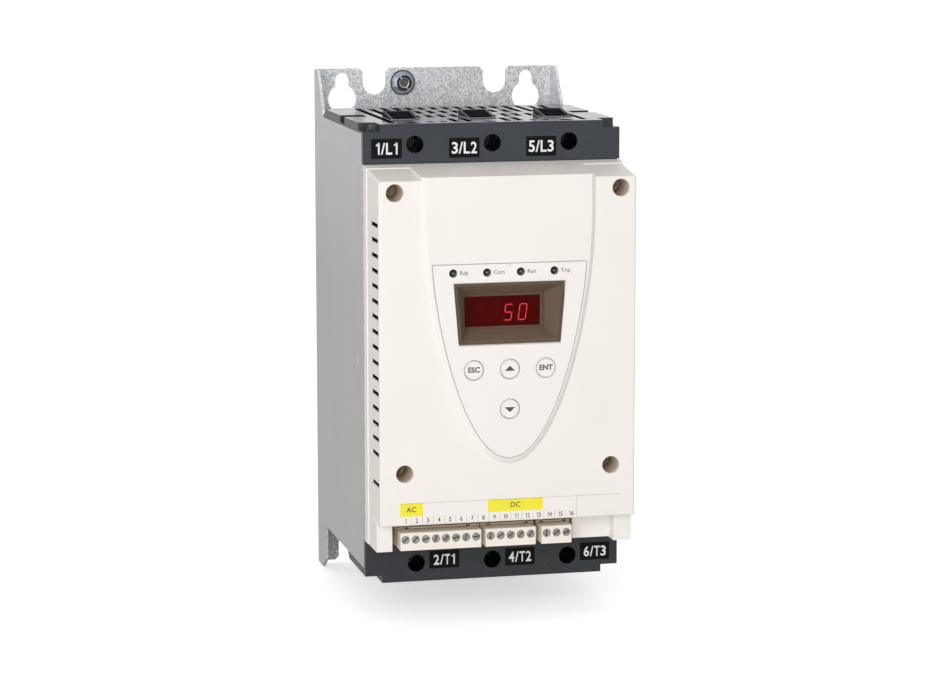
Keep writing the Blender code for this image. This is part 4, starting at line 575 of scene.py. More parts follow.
def piece(name: str, bm: Mesh, finish: Finish, body: str) -> None:
    """Turns a bmesh into a piece that rides on a body.

    Args:
        name: The piece's name.
        bm: Its mesh, in the row frame.
        finish: Its finish.
        body: The body it rides on.
    """
    mesh = bpy.data.meshes.new(name)
    bm.to_mesh(mesh)
    bm.free()
    mesh.materials.append(material_of(finish))
    mesh.shade_smooth()
    mesh.set_sharp_from_angle(angle=SHARP_ANGLE)
    obj = bpy.data.objects.new(name, mesh)
    bpy.context.scene.collection.objects.link(obj)
    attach(obj, body)
    log.info("%s: %d faces, on %s", name, len(mesh.polygons), body)


def block(bm: Mesh, low: Sequence[float], high: Sequence[float]) -> Corners:
    """Adds a box.

    Args:
        bm: The mesh.
        low: Its lowest corner.
        high: Its highest corner.

    Returns:
        Its vertices.
    """
    low, high = Vector(low), Vector(high)
    matrix = Matrix.LocRotScale((low + high) / 2, None, high - low)
    return bmesh.ops.create_cube(bm, size=1.0, matrix=matrix)["verts"]


def mark(bm: Mesh, x: Span, z: Span, y: float,
         height: float = INK_HEIGHT) -> Corners:
    """Adds a printed rectangle on a face that looks along -Y and gives its vertices."""
    return block(bm, (x[0], y - height, z[0]), (x[1], y, z[1]))


def upright(x: float, y: float, z: float) -> Matrix:
    """Gives the matrix that stands a flat form up at a point, to look along -Y."""
    return Matrix.Translation((x, y, z)) @ Matrix.Rotation(math.pi / 2, 4, "X")


def disc(bm: Mesh, x: float, z: float, rear: float, front: float, radius: float,
         segments: int = 32) -> Corners:
    """Adds a short rod along Y.

    Args:
        bm: The mesh.
        x: The axis's X.
        z: The axis's Z.
        rear: The Y of its rear end, which is the greater.
        front: The Y of its front end.
        radius: Its radius.
        segments: Its sides.

    Returns:
        Its vertices.
    """
    made = bmesh.ops.create_cone(
        bm, cap_ends=True, segments=segments, radius1=radius, radius2=radius, depth=rear - front,
        matrix=upright(x, (rear + front) / 2, z),
    )
    return made["verts"]


def ring(bm: Mesh, x: float, z: float, y: float, inner: float, outer: float,
         height: float = INK_HEIGHT, segments: int = 48) -> None:
    """Adds a flat ring whose back lies at y, by inset of a disc.

    Args:
        bm: The mesh.
        x: The axis's X.
        z: The axis's Z.
        y: The Y of its back.
        inner: Its inner radius.
        outer: Its outer radius.
        height: How far it stands forward.
        segments: Its sides.
    """
    made = bmesh.ops.create_circle(
        bm, cap_ends=True, segments=segments, radius=outer, matrix=upright(x, y, z)
    )
    border(bm, made["verts"][0].link_faces[0], outer - inner, height)


def border(bm: Mesh, face: bmesh.types.BMFace, width: float, height: float) -> None:
    """Turns a face into a raised band along its own edge.

    Args:
        bm: The mesh.
        face: The face, which looks along Y.
        width: The band's width.
        height: How far it stands forward.
    """
    band = bmesh.ops.inset_region(
        bm, faces=[face], thickness=width, use_boundary=True, use_even_offset=True
    )
    bmesh.ops.delete(bm, geom=[face], context="FACES")
    raised = bmesh.ops.extrude_face_region(bm, geom=band["faces"], use_keep_orig=True)["geom"]
    corners = [item for item in raised if isinstance(item, bmesh.types.BMVert)]
    bmesh.ops.translate(bm, verts=corners, vec=(0, -height, 0))
    bmesh.ops.recalc_face_normals(bm, faces=bm.faces)


def outline(bm: Mesh, points: Sequence[Span], y: float, width: float,
            height: float = INK_HEIGHT) -> None:
    """Adds a raised band inside a closed outline, on a face that looks along -Y.

    Args:
        bm: The mesh.
        points: The outline's corners as (x, z), in order.
        y: The Y of the face.
        width: The band's width.
        height: How far it stands forward.
    """
    face = bm.faces.new([bm.verts.new((x, y, z)) for x, z in points])
    face.normal_update()
    border(bm, face, width, height)


def round_edges(bm: Mesh, offset: float, segments: int = 2, sharp: float = 30.0) -> None:
    """Bevels the sharp edges of a mesh.

    Args:
        bm: The mesh.
        offset: The bevel's width.
        segments: Faces across it.
        sharp: The least angle, in degrees, of an edge that gets it.
    """
    limit = math.radians(sharp)
    edges = [e for e in bm.edges if len(e.link_faces) == 2 and e.calc_face_angle(0) > limit]
    bmesh.ops.bevel(
        bm, geom=edges, offset=offset, segments=segments, profile=0.5, affect="EDGES", material=-1
    )


class Align(Enum):
    """Where a word sits against its anchor."""

    LEFT = "LEFT"
    CENTRE = "CENTER"


def letters(text: str, align: Align = Align.CENTRE, weight: float = 0.0) -> bpy.types.Mesh:
    """Makes flat letters of size 1 with a small thickness.

    Args:
        text: The letters.
        align: Where the anchor is.
        weight: Makes the strokes thicker, as a share of the size.

    Returns:
        The mesh, in its own X and Y.
    """
    curve = bpy.data.curves.new("words", "FONT")
    curve.body = text
    curve.align_x = align.value
    curve.align_y = "CENTER"
    curve.extrude = LETTER_DEPTH
    curve.offset = weight
    curve.resolution_u = 3
    obj = bpy.data.objects.new("words", curve)
    bpy.context.scene.collection.objects.link(obj)
    bpy.context.view_layer.update()
    graph = bpy.context.evaluated_depsgraph_get()
    mesh = bpy.data.meshes.new_from_object(obj.evaluated_get(graph))
    bpy.data.objects.remove(obj)
    return mesh


def print_words(bm: Mesh, text: str, size: float, x: float, y: float, z: float,
                align: Align = Align.CENTRE, weight: float = 0.0) -> None:
    """Prints words on a face that looks along -Y.

    Args:
        bm: The mesh.
        text: The words.
        size: The font's size, in metres.
        x: The anchor's X.
        y: The Y of the face.
        z: The height of the letters' middle.
        align: Where the anchor is.
        weight: Makes the strokes thicker, as a share of the size.
    """
    mesh = letters(text, align, weight)
    scale = (size, size, INK_HEIGHT / LETTER_DEPTH, 1)
    mesh.transform(upright(x, y, z) @ Matrix.Diagonal(scale))
    bm.from_mesh(mesh)
    bpy.data.meshes.remove(mesh)


@dataclass(frozen=True)
class Figures:
    """How a sign's characters are made, in shares of their height."""

    cell: float = 0.62
    narrow: tuple[tuple[str, float], ...] = (("/", 0.42), ("1", 0.5))
    fill: float = 0.86
    thin: float = 0.09
    gain: float = 2.6
    stem: float = 0.1
    flag_left: float = -0.15
    flag_right: float = 0.13
    flag_half: float = 0.42
    flag_tilt: float = 38.0
    flag_back: float = 0.12
    flag_rise: float = 0.34


FIGURES = Figures()


def print_sign(bm: Mesh, text: str, height: float, x: float, y: float, z: float,
               weight: float = 0.02) -> None:
    """Prints capitals and figures on a face that looks along -Y, each fitted to a cell of its own.

    Args:
        bm: The mesh.
        text: The characters.
        height: Their height, in metres.
        x: The middle's X.
        y: The Y of the face.
        z: The middle's Z.
        weight: Makes the strokes thicker, as a share of the size.
    """
    narrow = dict(FIGURES.narrow)
    widths = [narrow.get(char, FIGURES.cell) * height for char in text]
    left = x - sum(widths) / 2
    for char, width in zip(text, widths):
        middle = left + width / 2
        left += width
        if char == "1":
            print_one(bm, height, middle, y, z, (FIGURES.thin + FIGURES.gain * weight) * height)
            continue
        mesh = letters(char, weight=weight)
        low = Vector([min(v.co[axis] for v in mesh.vertices) for axis in range(3)])
        high = Vector([max(v.co[axis] for v in mesh.vertices) for axis in range(3)])
        mesh.transform(Matrix.Translation(-(low + high) / 2))
        across = width * FIGURES.fill / (high.x - low.x)
        scale = (across, height / (high.y - low.y), INK_HEIGHT / LETTER_DEPTH, 1)
        mesh.transform(upright(middle, y, z) @ Matrix.Diagonal(scale))
        bm.from_mesh(mesh)
        bpy.data.meshes.remove(mesh)


def print_one(bm: Mesh, height: float, x: float, y: float, z: float, stroke: float) -> None:
    """Prints a figure one with a flag: a stem and a slanting stroke.

    Args:
        bm: The mesh.
        height: Its height.
        x: The middle of its cell.
        y: The Y of the face.
        z: The middle's Z.
        stroke: The stem's width.
    """
    stem = x + FIGURES.stem * height
    mark(bm, (stem - stroke / 2, stem + stroke / 2), (z - height / 2, z + height / 2), y)
    half = FIGURES.flag_half * stroke
    flag = mark(bm, (FIGURES.flag_left * height, FIGURES.flag_right * height), (-half, half), y)
    turn = Matrix.Rotation(-math.radians(FIGURES.flag_tilt), 4, "Y")
    spot = Matrix.Translation((stem - FIGURES.flag_back * height, 0, z + FIGURES.flag_rise * height))
    bmesh.ops.transform(bm, verts=flag, matrix=spot @ turn)


def centre_of(node: str) -> Vector:
    """Gives the middle of a node's box."""
    low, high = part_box(node)
    return (low + high) / 2


@dataclass(frozen=True)
class LabelRow:
    """The labels of one terminal block, each beside a clamp's screw hole."""

    prefix: str
    moulding: str
    step: float
    height: float
    text_height: float
    words: tuple[tuple[str, float], ...]


@dataclass
class TerminalBlocks:
    """Both power terminal blocks: mouldings, labels beside the screw holes and the corner clip.

    A label row's step is how far right of its hole a label is, and each word comes with how far
    above the hole it is.
    """

    label_width: float = 0.0152
    label_thickness: float = 0.0003
    clip_post: tuple[Point, Point] = ((-0.0612, -0.1303, 0.11015), (-0.0592, -0.1270, 0.1129))
    clip_foot: tuple[Point, Point] = ((-0.0625, -0.1296, 0.11015), (-0.0592, -0.1277, 0.1112))
    rows: tuple[LabelRow, ...] = (
        LabelRow(
            "line", "top_terminal_block", -0.0142, 0.0097, 0.0058,
            (("1/L1", -0.0018), ("3/L2", -0.0021), ("5/L3", -0.0021)),
        ),
        LabelRow(
            "load", "bottom_terminal_block", 0.0143, 0.0089, 0.0053,
            (("2/T1", 0.0013), ("4/T2", 0.0007), ("6/T3", 0.0015)),
        ),
    )

    def build(self) -> None:
        """Dresses the mouldings and adds the clip and a label beside each screw hole."""
        dress("top_terminal_block", TOP_SLATE, edge=0.0003)
        dress("bottom_terminal_block", BOTTOM_SLATE, edge=0.0003)
        self.clip()
        for row in self.rows:
            self.labels(row)

    def clip(self) -> None:
        """Adds the small bronze clip that stands in the top block's front left notch."""
        bm = bmesh.new()
        for part in (self.clip_post, self.clip_foot):
            block(bm, *part)
        round_edges(bm, offset=0.00025)
        piece("corner_clip", bm, CLIP_BRONZE, HOUSING)

    def labels(self, row: LabelRow) -> None:
        """Adds the labels of one block.

        Args:
            row: The labels.
        """
        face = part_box(row.moulding)[0].y
        front = face - self.label_thickness
        half = Vector((self.label_width / 2, row.height / 2))
        plates = bmesh.new()
        marks = bmesh.new()
        for number, (word, lift) in zip(PHASES, row.words):
            screw = centre_of(f"{row.prefix}_clamp_screw_{number}")
            x = screw.x + row.step
            z = screw.z + lift
            block(plates, (x - half.x, front, z - half.y), (x + half.x, face, z + half.y))
            print_sign(marks, word, row.text_height, x, front, z)
        round_edges(plates, offset=0.00012, segments=1)
        piece(f"{row.prefix}_label_plates", plates, LABEL, HOUSING)
        piece(f"{row.prefix}_label_marks", marks, WHITE_INK, HOUSING)


@dataclass
class Chassis:
    """The folded sheet with the earth screw and the side screws."""

    ring_inner: float = 0.0027
    ring_outer: float = 0.0041
    rim_inner: float = 0.0060
    rim_outer: float = 0.0066
    ring_height: float = 0.0002
    slot_angle: float = 58.0
    slot_half: float = 0.0004
    slot_height: float = 0.00032
    slot_inward: float = 0.0003
    slot_outward: float = 0.0002
    floor_rear: float = 0.0018
    floor_front: float = 0.0013
    floor_radius: float = 0.0019

    def build(self) -> None:
        """Dresses the chassis and its screws, and details the earth screw's head."""
        dress("chassis", ZINC, edge=0.00018)
        dress("earth_screw", PLATED, edge=0.0003)
        dress("earth_washer", WASHER_STEEL, edge=0.0003)
        for side in ("left", "right"):
            dress(f"side_screw_{side}", BRIGHT_STEEL, edge=0.0002)
        self.earth_head()

    def earth_head(self) -> None:
        """Adds painted shade rings, the slot's ends and the recess's floor to the earth screw."""
        middle = centre_of("earth_screw")
        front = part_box("earth_screw")[0].y
        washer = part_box("earth_washer")[0].y
        rings = bmesh.new()
        # Painted shade: dark rings at the head's edge and the washer's rim.
        ring(rings, middle.x, middle.z, front, self.ring_inner, self.ring_outer, self.ring_height)
        ring(rings, middle.x, middle.z, washer, self.rim_inner, self.rim_outer, self.ring_height)
        piece("earth_screw_shade_rings", rings, EDGE_SHADE_STEEL, HOUSING)
        slot = bmesh.new()
        for angle in (self.slot_angle + 90, self.slot_angle - 90):
            low = (-self.slot_half, -self.slot_height, self.ring_inner - self.slot_inward)
            end = block(slot, low, (self.slot_half, 0.0, self.ring_outer + self.slot_outward))
            turn = Matrix.Rotation(math.radians(angle), 4, "Y")
            spot = Matrix.Translation((middle.x, front, middle.z)) @ turn
            bmesh.ops.transform(slot, verts=end, matrix=spot)
        piece("earth_screw_slot", slot, PLATED, HOUSING)
        floor = bmesh.new()
        disc(floor, middle.x, middle.z, front + self.floor_rear, front + self.floor_front, self.floor_radius)
        piece("earth_screw_recess", floor, RECESS_STEEL, HOUSING)


@dataclass
class Inside:
    """What the casing holds: power parts, boards and the tray."""

    def build(self) -> None:
        """Dresses every inner node."""
        dress("heat_sink", EXTRUSION)
        dress("mounting_tray", BLACK)
        dress("power_board", CIRCUIT)
        dress("control_board", CIRCUIT)
        dress("network_socket", BLACK, edge=0.0002)
        for number in (1, 2):
            dress(f"current_transformer_{number}", BLACK, edge=0.0003)
        for number in PHASES:
            dress(f"thyristor_module_{number}", BLACK)
            dress(f"bypass_relay_{number}", BLUE, edge=0.0004)
            for prefix in ("line", "load"):
                dress(f"{prefix}_busbar_{number}", COPPER, edge=0.0002)
                dress(f"{prefix}_clamp_{number}", PLATED, edge=0.0002)
                # Painted shade: the clamp screws take darkened steel.
                dress(f"{prefix}_clamp_screw_{number}", SHADED_SCREW_STEEL)


@dataclass(frozen=True)
class Field:
    """A yellow field of the strip with its word: the field's sides and foot, and the word's middle."""

    word: str
    sides: Span
    foot: float
    middle: Span


@dataclass
class Cover:
    """The pale cover with its screws and the printed strip above the control terminals."""

    strip_y: float = -0.1665
    strip_top: float = -0.0684
    strip_left: float = -0.0544
    strip_right: float = 0.0575
    header_gap: float = 0.0041
    network_line: float = 0.0346
    line_width: float = 0.00018
    number_height: float = 0.0023
    number_z: float = -0.0770
    separator_top: float = -0.0750
    word_size: float = 0.0036
    weight: float = 0.01
    ways: int = 16
    fields: tuple[Field, ...] = (
        Field("AC", (-0.0544, -0.042975), -0.0748, (-0.0487, -0.0716)),
        Field("DC", (-0.0105, 0.0172), -0.0745, (0.0034, -0.0714)),
    )

    def build(self) -> None:
        """Dresses the cover and its screws and prints the strip."""
        dress("front_cover", WHITE, edge=0.0004)
        for number in range(1, 5):
            # Painted shade: the screws down the wells take darkened steel.
            dress(f"cover_screw_{number}", SHADED_WELL_SCREW_STEEL)
        self.print_strip()

    def print_strip(self) -> None:
        """Prints the strip's lines, its yellow fields and a number above each control terminal."""
        face, top, half = self.strip_y, self.strip_top, self.line_width / 2
        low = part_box("terminal_header_8")[1].z + self.header_gap
        pitch = (self.network_line - self.strip_left) / self.ways
        lines, fields, numbers = bmesh.new(), bmesh.new(), bmesh.new()
        mark(lines, (self.strip_left, self.strip_right), (top - half, top + half), face)
        mark(lines, (self.network_line - half, self.network_line + half), (low, top), face)
        for way in range(self.ways):
            x = self.strip_left + (way + 0.5) * pitch
            print_sign(numbers, str(way + 1), self.number_height, x, face, self.number_z, self.weight)
            edge = self.strip_left + (way + 1) * pitch
            if way < self.ways - 1:
                mark(lines, (edge - half, edge + half), (low, self.separator_top), face)
        for field in self.fields:
            mark(fields, field.sides, (field.foot, top), face)
            x, z = field.middle
            print_words(numbers, field.word, self.word_size, x, face - INK_HEIGHT, z, weight=self.weight)
        piece("strip_lines", lines, PALE_INK, HOUSING)
        piece("strip_fields", fields, YELLOW_INK, HOUSING)
        piece("strip_numbers", numbers, GREY_INK, HOUSING)


@dataclass
class Keypad:
    """The film with its printing, the buttons, the lamps and the display."""

    button_ring: Span = (0.00428, 0.00444)
    button_word: float = 0.0036
    button_weight: float = 0.035
    word_lift: float = 0.0001
    arrow_half: float = 0.0026
    arrow_height: float = 0.0025
    lamp_ring: Span = (0.00175, 0.0020)
    dot_radius: float = 0.0005
    dot_rear: float = 0.0002
    dot_front: float = 0.0001
    word_size: float = 0.0028
    word_step: float = 0.0032
    rim_width: float = 0.00016
    tick_half: float = 0.0009
    tick_drop: Span = (0.0011, 0.0009)
    film_weld: float = 0.00001
    window_edge: float = 0.0010
    window_margin: float = 0.0001
    window_taper: float = 0.0026
    face_sides: Span = (-0.0196, 0.0183)
    face_rise: Span = (0.0159, 0.0308)
    face_height: float = 0.0002
    lit_height: float = 0.0001
    digit_height: float = 0.0077
    digit_width: float = 0.0036
    digit_z: float = 0.0226
    stroke: float = 0.00045
    point: float = 0.9
    slant: float = 0.14
    figures: tuple[tuple[float, str], ...] = (
        (-0.0121, ""), (-0.0050, ""), (0.0024, "acdfg"), (0.0096, "abcdef"),
    )

    def build(self) -> None:
        """Dresses the keypad, prints it and lights the display."""
        dress("keypad_overlay", FILM)
        dress("display_window", PANE)
        dress("display_module", MODULE)
        self.buttons()
        self.lamps()
        self.rim()
        self.window_print()
        self.digits()

    def buttons(self) -> None:
        """Dresses the buttons and prints a ring and a mark on each."""
        words = {"button_escape": "ESC", "button_enter": "ENT"}
        arrows = {"button_up": 1, "button_down": -1}
        for node in (*words, *arrows):
            dress(node, FILM, edge=0.00025)
            x, _, z = centre_of(node)
            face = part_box(node)[0].y
            rim, bm = bmesh.new(), bmesh.new()
            ring(rim, x, z, face, *self.button_ring)
            piece(f"{node}_ring", rim, PALE_INK, node)
            if node in words:
                height = z + self.word_lift
                print_words(bm, words[node], self.button_word, x, face, height, weight=self.button_weight)
            else:
                self.arrow(bm, x, face, z, arrows[node])
            piece(f"{node}_mark", bm, GREY_INK, node)

    def arrow(self, bm: Mesh, x: float, y: float, z: float, way: int) -> None:
        """Adds a triangle that points up or down: a three-sided prism, flattened.

        Args:
            bm: The mesh.
            x: The middle's X.
            y: The Y of the face.
            z: The middle's Z.
            way: 1 for up and -1 for down.
        """
        verts = bmesh.ops.create_cone(
            bm, cap_ends=True, segments=3, radius1=1.0, radius2=1.0, depth=2 * INK_HEIGHT,
            matrix=Matrix.Rotation(math.pi / 2, 4, "X"),
        )["verts"]
        low = min(v.co.z for v in verts)
        high = max(v.co.z for v in verts)
        wide = max(v.co.x for v in verts)
        flip = way if abs(high) > abs(low) else -way
        size = Matrix.Diagonal((self.arrow_half / wide, 1.0, self.arrow_height / (high - low) * flip, 1.0))
        bmesh.ops.transform(bm, verts=verts, matrix=Matrix.Translation((x, y, z)) @ size)
        bmesh.ops.recalc_face_normals(bm, faces=bm.faces)

    def lamps(self) -> None:
        """Dresses the lamps and prints a black ring round each, a dot and a word."""
        words = {"lamp_ready": "Rdy", "lamp_link": "Com", "lamp_run": "Run", "lamp_trip": "Trip"}
        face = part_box("keypad_overlay")[0].y
        rings, dots, marks = bmesh.new(), bmesh.new(), bmesh.new()
        for node, word in words.items():
            dress(node, LENS)
            x, _, z = centre_of(node)
            ring(rings, x, z, face, *self.lamp_ring)
            disc(dots, x, z, face + self.dot_rear, face + self.dot_front, self.dot_radius, segments=16)
            print_words(marks, word, self.word_size, x + self.word_step, face, z, Align.LEFT)
        piece("lamp_rings", rings, LABEL, HOUSING)
        piece("lamp_dots", dots, LENS_INK, HOUSING)
        piece("lamp_words", marks, GREY_INK, HOUSING)

    def rim(self) -> None:
        """Prints a fine line along the film's edge, with a tick in the middle of its top."""
        low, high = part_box("keypad_overlay")
        bm = bmesh.new()
        outline(bm, self.film_edge(), low.y, self.rim_width)
        foot, head = (high.z - drop for drop in self.tick_drop)
        mark(bm, (-self.tick_half, self.tick_half), (foot, head), low.y)
        piece("film_rim", bm, PALE_INK, HOUSING)

    def film_edge(self) -> list[Span]:
        """Follows the film's outer edge on its front face.

        Returns:
            The edge's corners as (x, z), in order.
        """
        bm = bmesh.new()
        bm.from_mesh(NODES["keypad_overlay"].data)
        bmesh.ops.remove_doubles(bm, verts=bm.verts, dist=self.film_weld)
        front = min(v.co.y for v in bm.verts) + self.film_weld
        level = [e for e in bm.edges if all(v.co.y < front for v in e.verts)]
        rim = [e for e in level if any(abs(f.normal.y) < 0.5 for f in e.link_faces)]
        start = max((v for e in rim for v in e.verts), key=lambda v: v.co.x)
        points, spot, last = [], start, None
        while True:
            points.append((spot.co.x, spot.co.z))
            step = next(e for e in spot.link_edges if e in rim and e is not last)
            last, spot = step, step.other_vert(spot)
            if spot is start:
                break
        bm.free()
        return points

    def window_print(self) -> None:
        """Prints the olive edge on the display window."""
        low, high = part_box("display_window")
        top, foot = high.z - self.window_margin, low.z + self.window_margin
        wide = high.x - self.window_margin
        narrow = wide - self.window_taper
        bm = bmesh.new()
        corners = [(-wide, top), (wide, top), (narrow, foot), (-narrow, foot)]
        outline(bm, corners, low.y, self.window_edge)
        piece("window_edge", bm, OLIVE_INK, HOUSING)

    def digits(self) -> None:
        """Adds the red face and four figures of seven segments: two dark, a lit five and a lit nought."""
        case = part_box("display_module")[0].y
        red, dark, lit = bmesh.new(), bmesh.new(), bmesh.new()
        mark(red, self.face_sides, self.face_rise, case, self.face_height)
        for x, shown in self.figures:
            for name in "abcdefg":
                bm, height = (lit, self.lit_height) if name in shown else (dark, INK_HEIGHT)
                self.segment(bm, name, x, case - self.face_height, height)
        piece("display_face", red, DISPLAY_INK, HOUSING)
        piece("display_segments_dark", dark, UNLIT_INK, HOUSING)
        piece("display_segments_lit", lit, LIT, HOUSING)

    def segment(self, bm: Mesh, name: str, x: float, y: float, height: float) -> None:
        """Adds one segment of a figure, with pointed ends, slanted with the figure.

        Args:
            bm: The mesh.
            name: The segment's letter, from a to g.
            x: The figure's middle.
            y: The Y of the display's face.
            height: How far the segment stands forward.
        """
        wide, tall, stroke = self.digit_width / 2, self.digit_height / 2, self.stroke / 2
        level = {"a": tall, "g": 0.0, "d": -tall}
        if name in level:
            spot, size = (0.0, level[name]), (wide - stroke, stroke)
        else:
            side = wide if name in "bc" else -wide
            spot, size = (side, tall / 2 if name in "bf" else -tall / 2), (stroke, tall / 2 - stroke)
        spans = [(middle - half, middle + half) for middle, half in zip(spot, size)]
        verts = mark(bm, *spans, 0.0, height)
        edges = dict.fromkeys(e for v in verts for e in v.link_edges)
        ends = [e for e in edges if abs(e.verts[0].co.y - e.verts[1].co.y) > height / 2]
        cut = bmesh.ops.bevel(
            bm, geom=ends, offset=stroke * self.point, segments=1, profile=0.5, affect="EDGES",
            material=-1,
        )
        verts = {v for face in cut["faces"] for v in face.verts}
        lean = Matrix.Translation((x, y, self.digit_z))
        lean[0][2] = self.slant
        bmesh.ops.transform(bm, verts=list(verts), matrix=lean)


@dataclass
class ControlTerminals:
    """The pull-off plugs with their screws, and their headers."""

    screw_z: float = -0.0880
    head_radius: float = 0.00185
    head_rear: float = 0.0010
    head_front: float = 0.00005
    slot_width: float = 0.0005
    floor_radius: float = 0.001813
    floor_rear: float = 0.0011
    floor_front: float = 0.00035
    angles: tuple[int, ...] = (35, 50, 20, 68, 44, 12, 75, 5, 80, 28, 38, 48, 52, 85, 42, 24)

    def build(self) -> None:
        """Dresses plugs and headers and fits a slotted head in each well, over a dark disc of painted shade.
        """
        angles = iter(self.angles)
        for ways in (8, 5, 3):
            node = f"terminal_plug_{ways}"
            dress(node, CREAM, edge=0.00015)
            dress(f"terminal_header_{ways}", TAN, edge=0.00012)
            low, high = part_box(node)
            rear, front = low.y + self.floor_rear, low.y + self.floor_front
            heads, slot_shades = bmesh.new(), bmesh.new()
            for way in range(ways):
                x = low.x + (way + 0.5) * (high.x - low.x) / ways
                # Painted shade: a dark disc behind the slot.
                disc(slot_shades, x, self.screw_z, rear, front, self.floor_radius)
                self.head(heads, x, low.y, next(angles))
            piece(f"{node}_screws", heads, TERMINAL_STEEL, node)
            piece(f"{node}_slot_shade", slot_shades, SLOT_SHADE_INK, node)

    def head(self, bm: Mesh, x: float, face: float, angle: int) -> None:
        """Adds a slotted screw head as two halves with the slot between them.

        Args:
            bm: The mesh.
            x: The head's X.
            face: The Y of the plug's front.
            angle: The slot's slope, in degrees.
        """
        across = Vector((-math.sin(math.radians(angle)), 0, math.cos(math.radians(angle))))
        for way in (-1, 1):
            half = bmesh.new()
            disc(half, x, self.screw_z, face + self.head_rear, face + self.head_front, self.head_radius)
            edge = Vector((x, 0, self.screw_z)) + across * way * self.slot_width / 2
            cut = bmesh.ops.bisect_plane(
                half, geom=half.verts[:] + half.edges[:] + half.faces[:], plane_co=edge,
                plane_no=across * way, clear_inner=True,
            )
            open_edges = [item for item in cut["geom_cut"] if isinstance(item, bmesh.types.BMEdge)]
            bmesh.ops.edgeloop_fill(half, edges=open_edges)
            bmesh.ops.recalc_face_normals(half, faces=half.faces)
            round_edges(half, offset=0.00012, segments=1, sharp=50.0)
            mesh = bpy.data.meshes.new("half")
            half.to_mesh(mesh)
            half.free()
            bm.from_mesh(mesh)
            bpy.data.meshes.remove(mesh)


@dataclass(frozen=True)
class Lamp:
    """A square lamp that faces the object: its place, its side in metres and its power in watts."""

    name: str
    at: Point
    size: float
    power: float


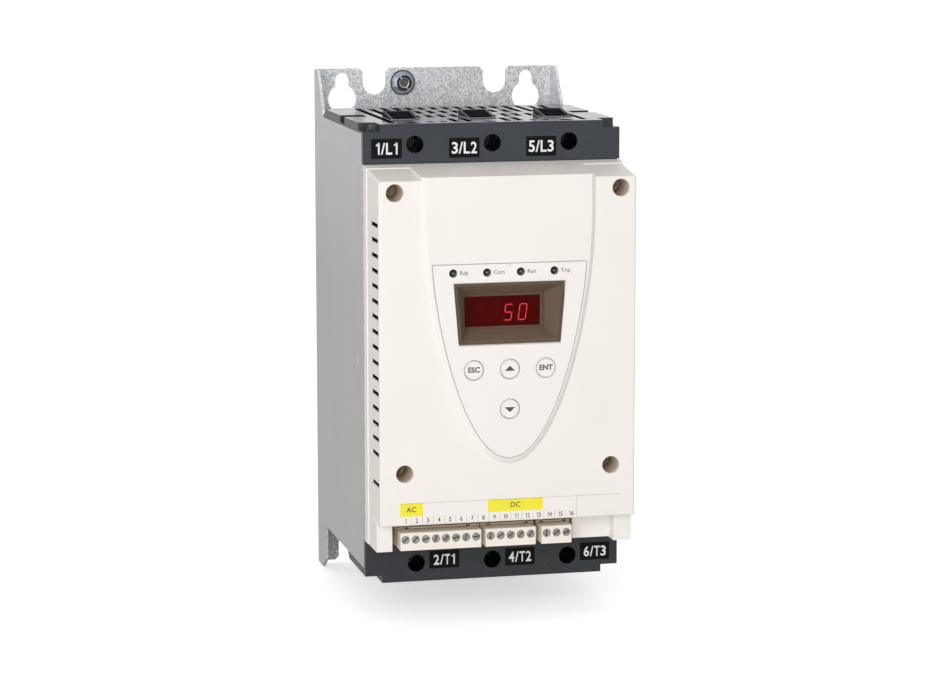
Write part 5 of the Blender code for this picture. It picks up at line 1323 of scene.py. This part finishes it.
@dataclass
class Studio:
    """Camera, floor and light."""

    camera_at: Point = (-0.35528, -1.60246, 0.23918)
    yaw: float = 13.073
    pitch: float = 8.79
    roll: float = -0.07
    focal_pixels: float = 3077.7
    sensor: float = 36.0
    nearest: float = 0.05
    farthest: float = 30.0
    floor_size: float = 8.0
    floor_drop: float = 0.002
    floor_glow: float = 0.6
    sky: float = 0.5
    aim: Point = (0.0, -0.08, 0.0)
    lamps: tuple[Lamp, ...] = (
        Lamp("key", (-1.0, -2.05, 0.4), 1.6, 30.0),
        Lamp("top", (0.2, -0.4, 1.9), 1.2, 1.5),
    )

    def build(self) -> None:
        """Builds the camera, the floor, the world and the lamps."""
        self.camera()
        self.floor()
        self.world()
        for lamp in self.lamps:
            self.area(lamp)

    def camera(self) -> None:
        """Places the camera as the photograph's was."""
        data = bpy.data.cameras.new("camera")
        data.sensor_width = self.sensor
        data.lens = self.focal_pixels / PHOTO_WIDTH * data.sensor_width
        data.clip_start = self.nearest
        data.clip_end = self.farthest
        camera = bpy.data.objects.new("camera", data)
        bpy.context.scene.collection.objects.link(camera)
        camera.location = self.camera_at
        turn = Euler((math.radians(90 - self.pitch), 0.0, math.radians(-self.yaw)), "XYZ").to_matrix()
        camera.rotation_euler = (turn @ Matrix.Rotation(math.radians(self.roll), 3, "Z")).to_euler()
        bpy.context.scene.camera = camera

    def floor(self) -> None:
        """Adds a pale floor that shows nearly white to the camera and keeps a soft shadow."""
        low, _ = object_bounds()
        bm = bmesh.new()
        spot = Matrix.Translation((0, 0, low.z - self.floor_drop))
        bmesh.ops.create_grid(bm, x_segments=1, y_segments=1, size=self.floor_size, matrix=spot)
        mesh = bpy.data.meshes.new("floor")
        bm.to_mesh(mesh)
        bm.free()
        g = Graph("studio_floor")
        grain = g.noise(60.0, 2.0)
        seen = g.add("LightPath").outputs["Is Camera Ray"]
        g.set(
            Base_Color=g.blend(grain, FLOOR_DARK, FLOOR_LIGHT),
            Roughness=0.9,
            Specular_IOR_Level=0.0,
            Emission_Color=PURE_WHITE,
            Emission_Strength=g.math("MULTIPLY", seen, self.floor_glow),
        )
        mesh.materials.append(g.material)
        obj = bpy.data.objects.new("floor", mesh)
        bpy.context.scene.collection.objects.link(obj)
        obj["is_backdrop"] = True

    def world(self) -> None:
        """Lights the object evenly and shows white to the camera and in reflections."""
        world = bpy.data.worlds.new("studio")
        world.use_nodes = True
        tree = world.node_tree
        background = tree.nodes["Background"]
        path = tree.nodes.new("ShaderNodeLightPath")
        seen = path.outputs["Is Camera Ray"]
        for ray in ("Is Glossy Ray", "Is Transmission Ray"):
            either = tree.nodes.new("ShaderNodeMath")
            either.operation = "MAXIMUM"
            tree.links.new(seen, either.inputs[0])
            tree.links.new(path.outputs[ray], either.inputs[1])
            seen = either.outputs["Value"]
        strength = tree.nodes.new("ShaderNodeMapRange")
        strength.inputs["To Min"].default_value = self.sky
        strength.inputs["To Max"].default_value = 1.0
        tree.links.new(seen, strength.inputs["Value"])
        tint = tree.nodes.new("ShaderNodeMix")
        tint.data_type = "RGBA"
        tree.links.new(seen, tint.inputs[0])
        tint.inputs[6].default_value = (*DIM_SKY, 1.0)
        tint.inputs[7].default_value = (*PURE_WHITE, 1.0)
        tree.links.new(tint.outputs[2], background.inputs["Color"])
        tree.links.new(strength.outputs["Result"], background.inputs["Strength"])
        bpy.context.scene.world = world
        bpy.context.scene.view_settings.view_transform = "Standard"

    def area(self, lamp: Lamp) -> None:
        """Adds a lamp that faces the object.

        Args:
            lamp: The lamp.
        """
        data = bpy.data.lights.new(lamp.name, "AREA")
        data.size = lamp.size
        data.energy = lamp.power
        data.color = LAMP_COLOUR
        light = bpy.data.objects.new(lamp.name, data)
        bpy.context.scene.collection.objects.link(light)
        light.location = lamp.at
        way = Vector(self.aim) - Vector(lamp.at)
        light.rotation_euler = way.to_track_quat("-Z", "Y").to_euler()


def main() -> None:
    """Builds every sub-assembly, then the studio."""
    logging.basicConfig(level=logging.INFO, format="%(name)s: %(message)s")
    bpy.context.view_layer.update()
    for assembly in (Chassis(), Inside(), TerminalBlocks(), Cover(), Keypad(), ControlTerminals(), Studio()):
        assembly.build()
        log.info("built %s", type(assembly).__name__)


if __name__ == "__main__":
    main()
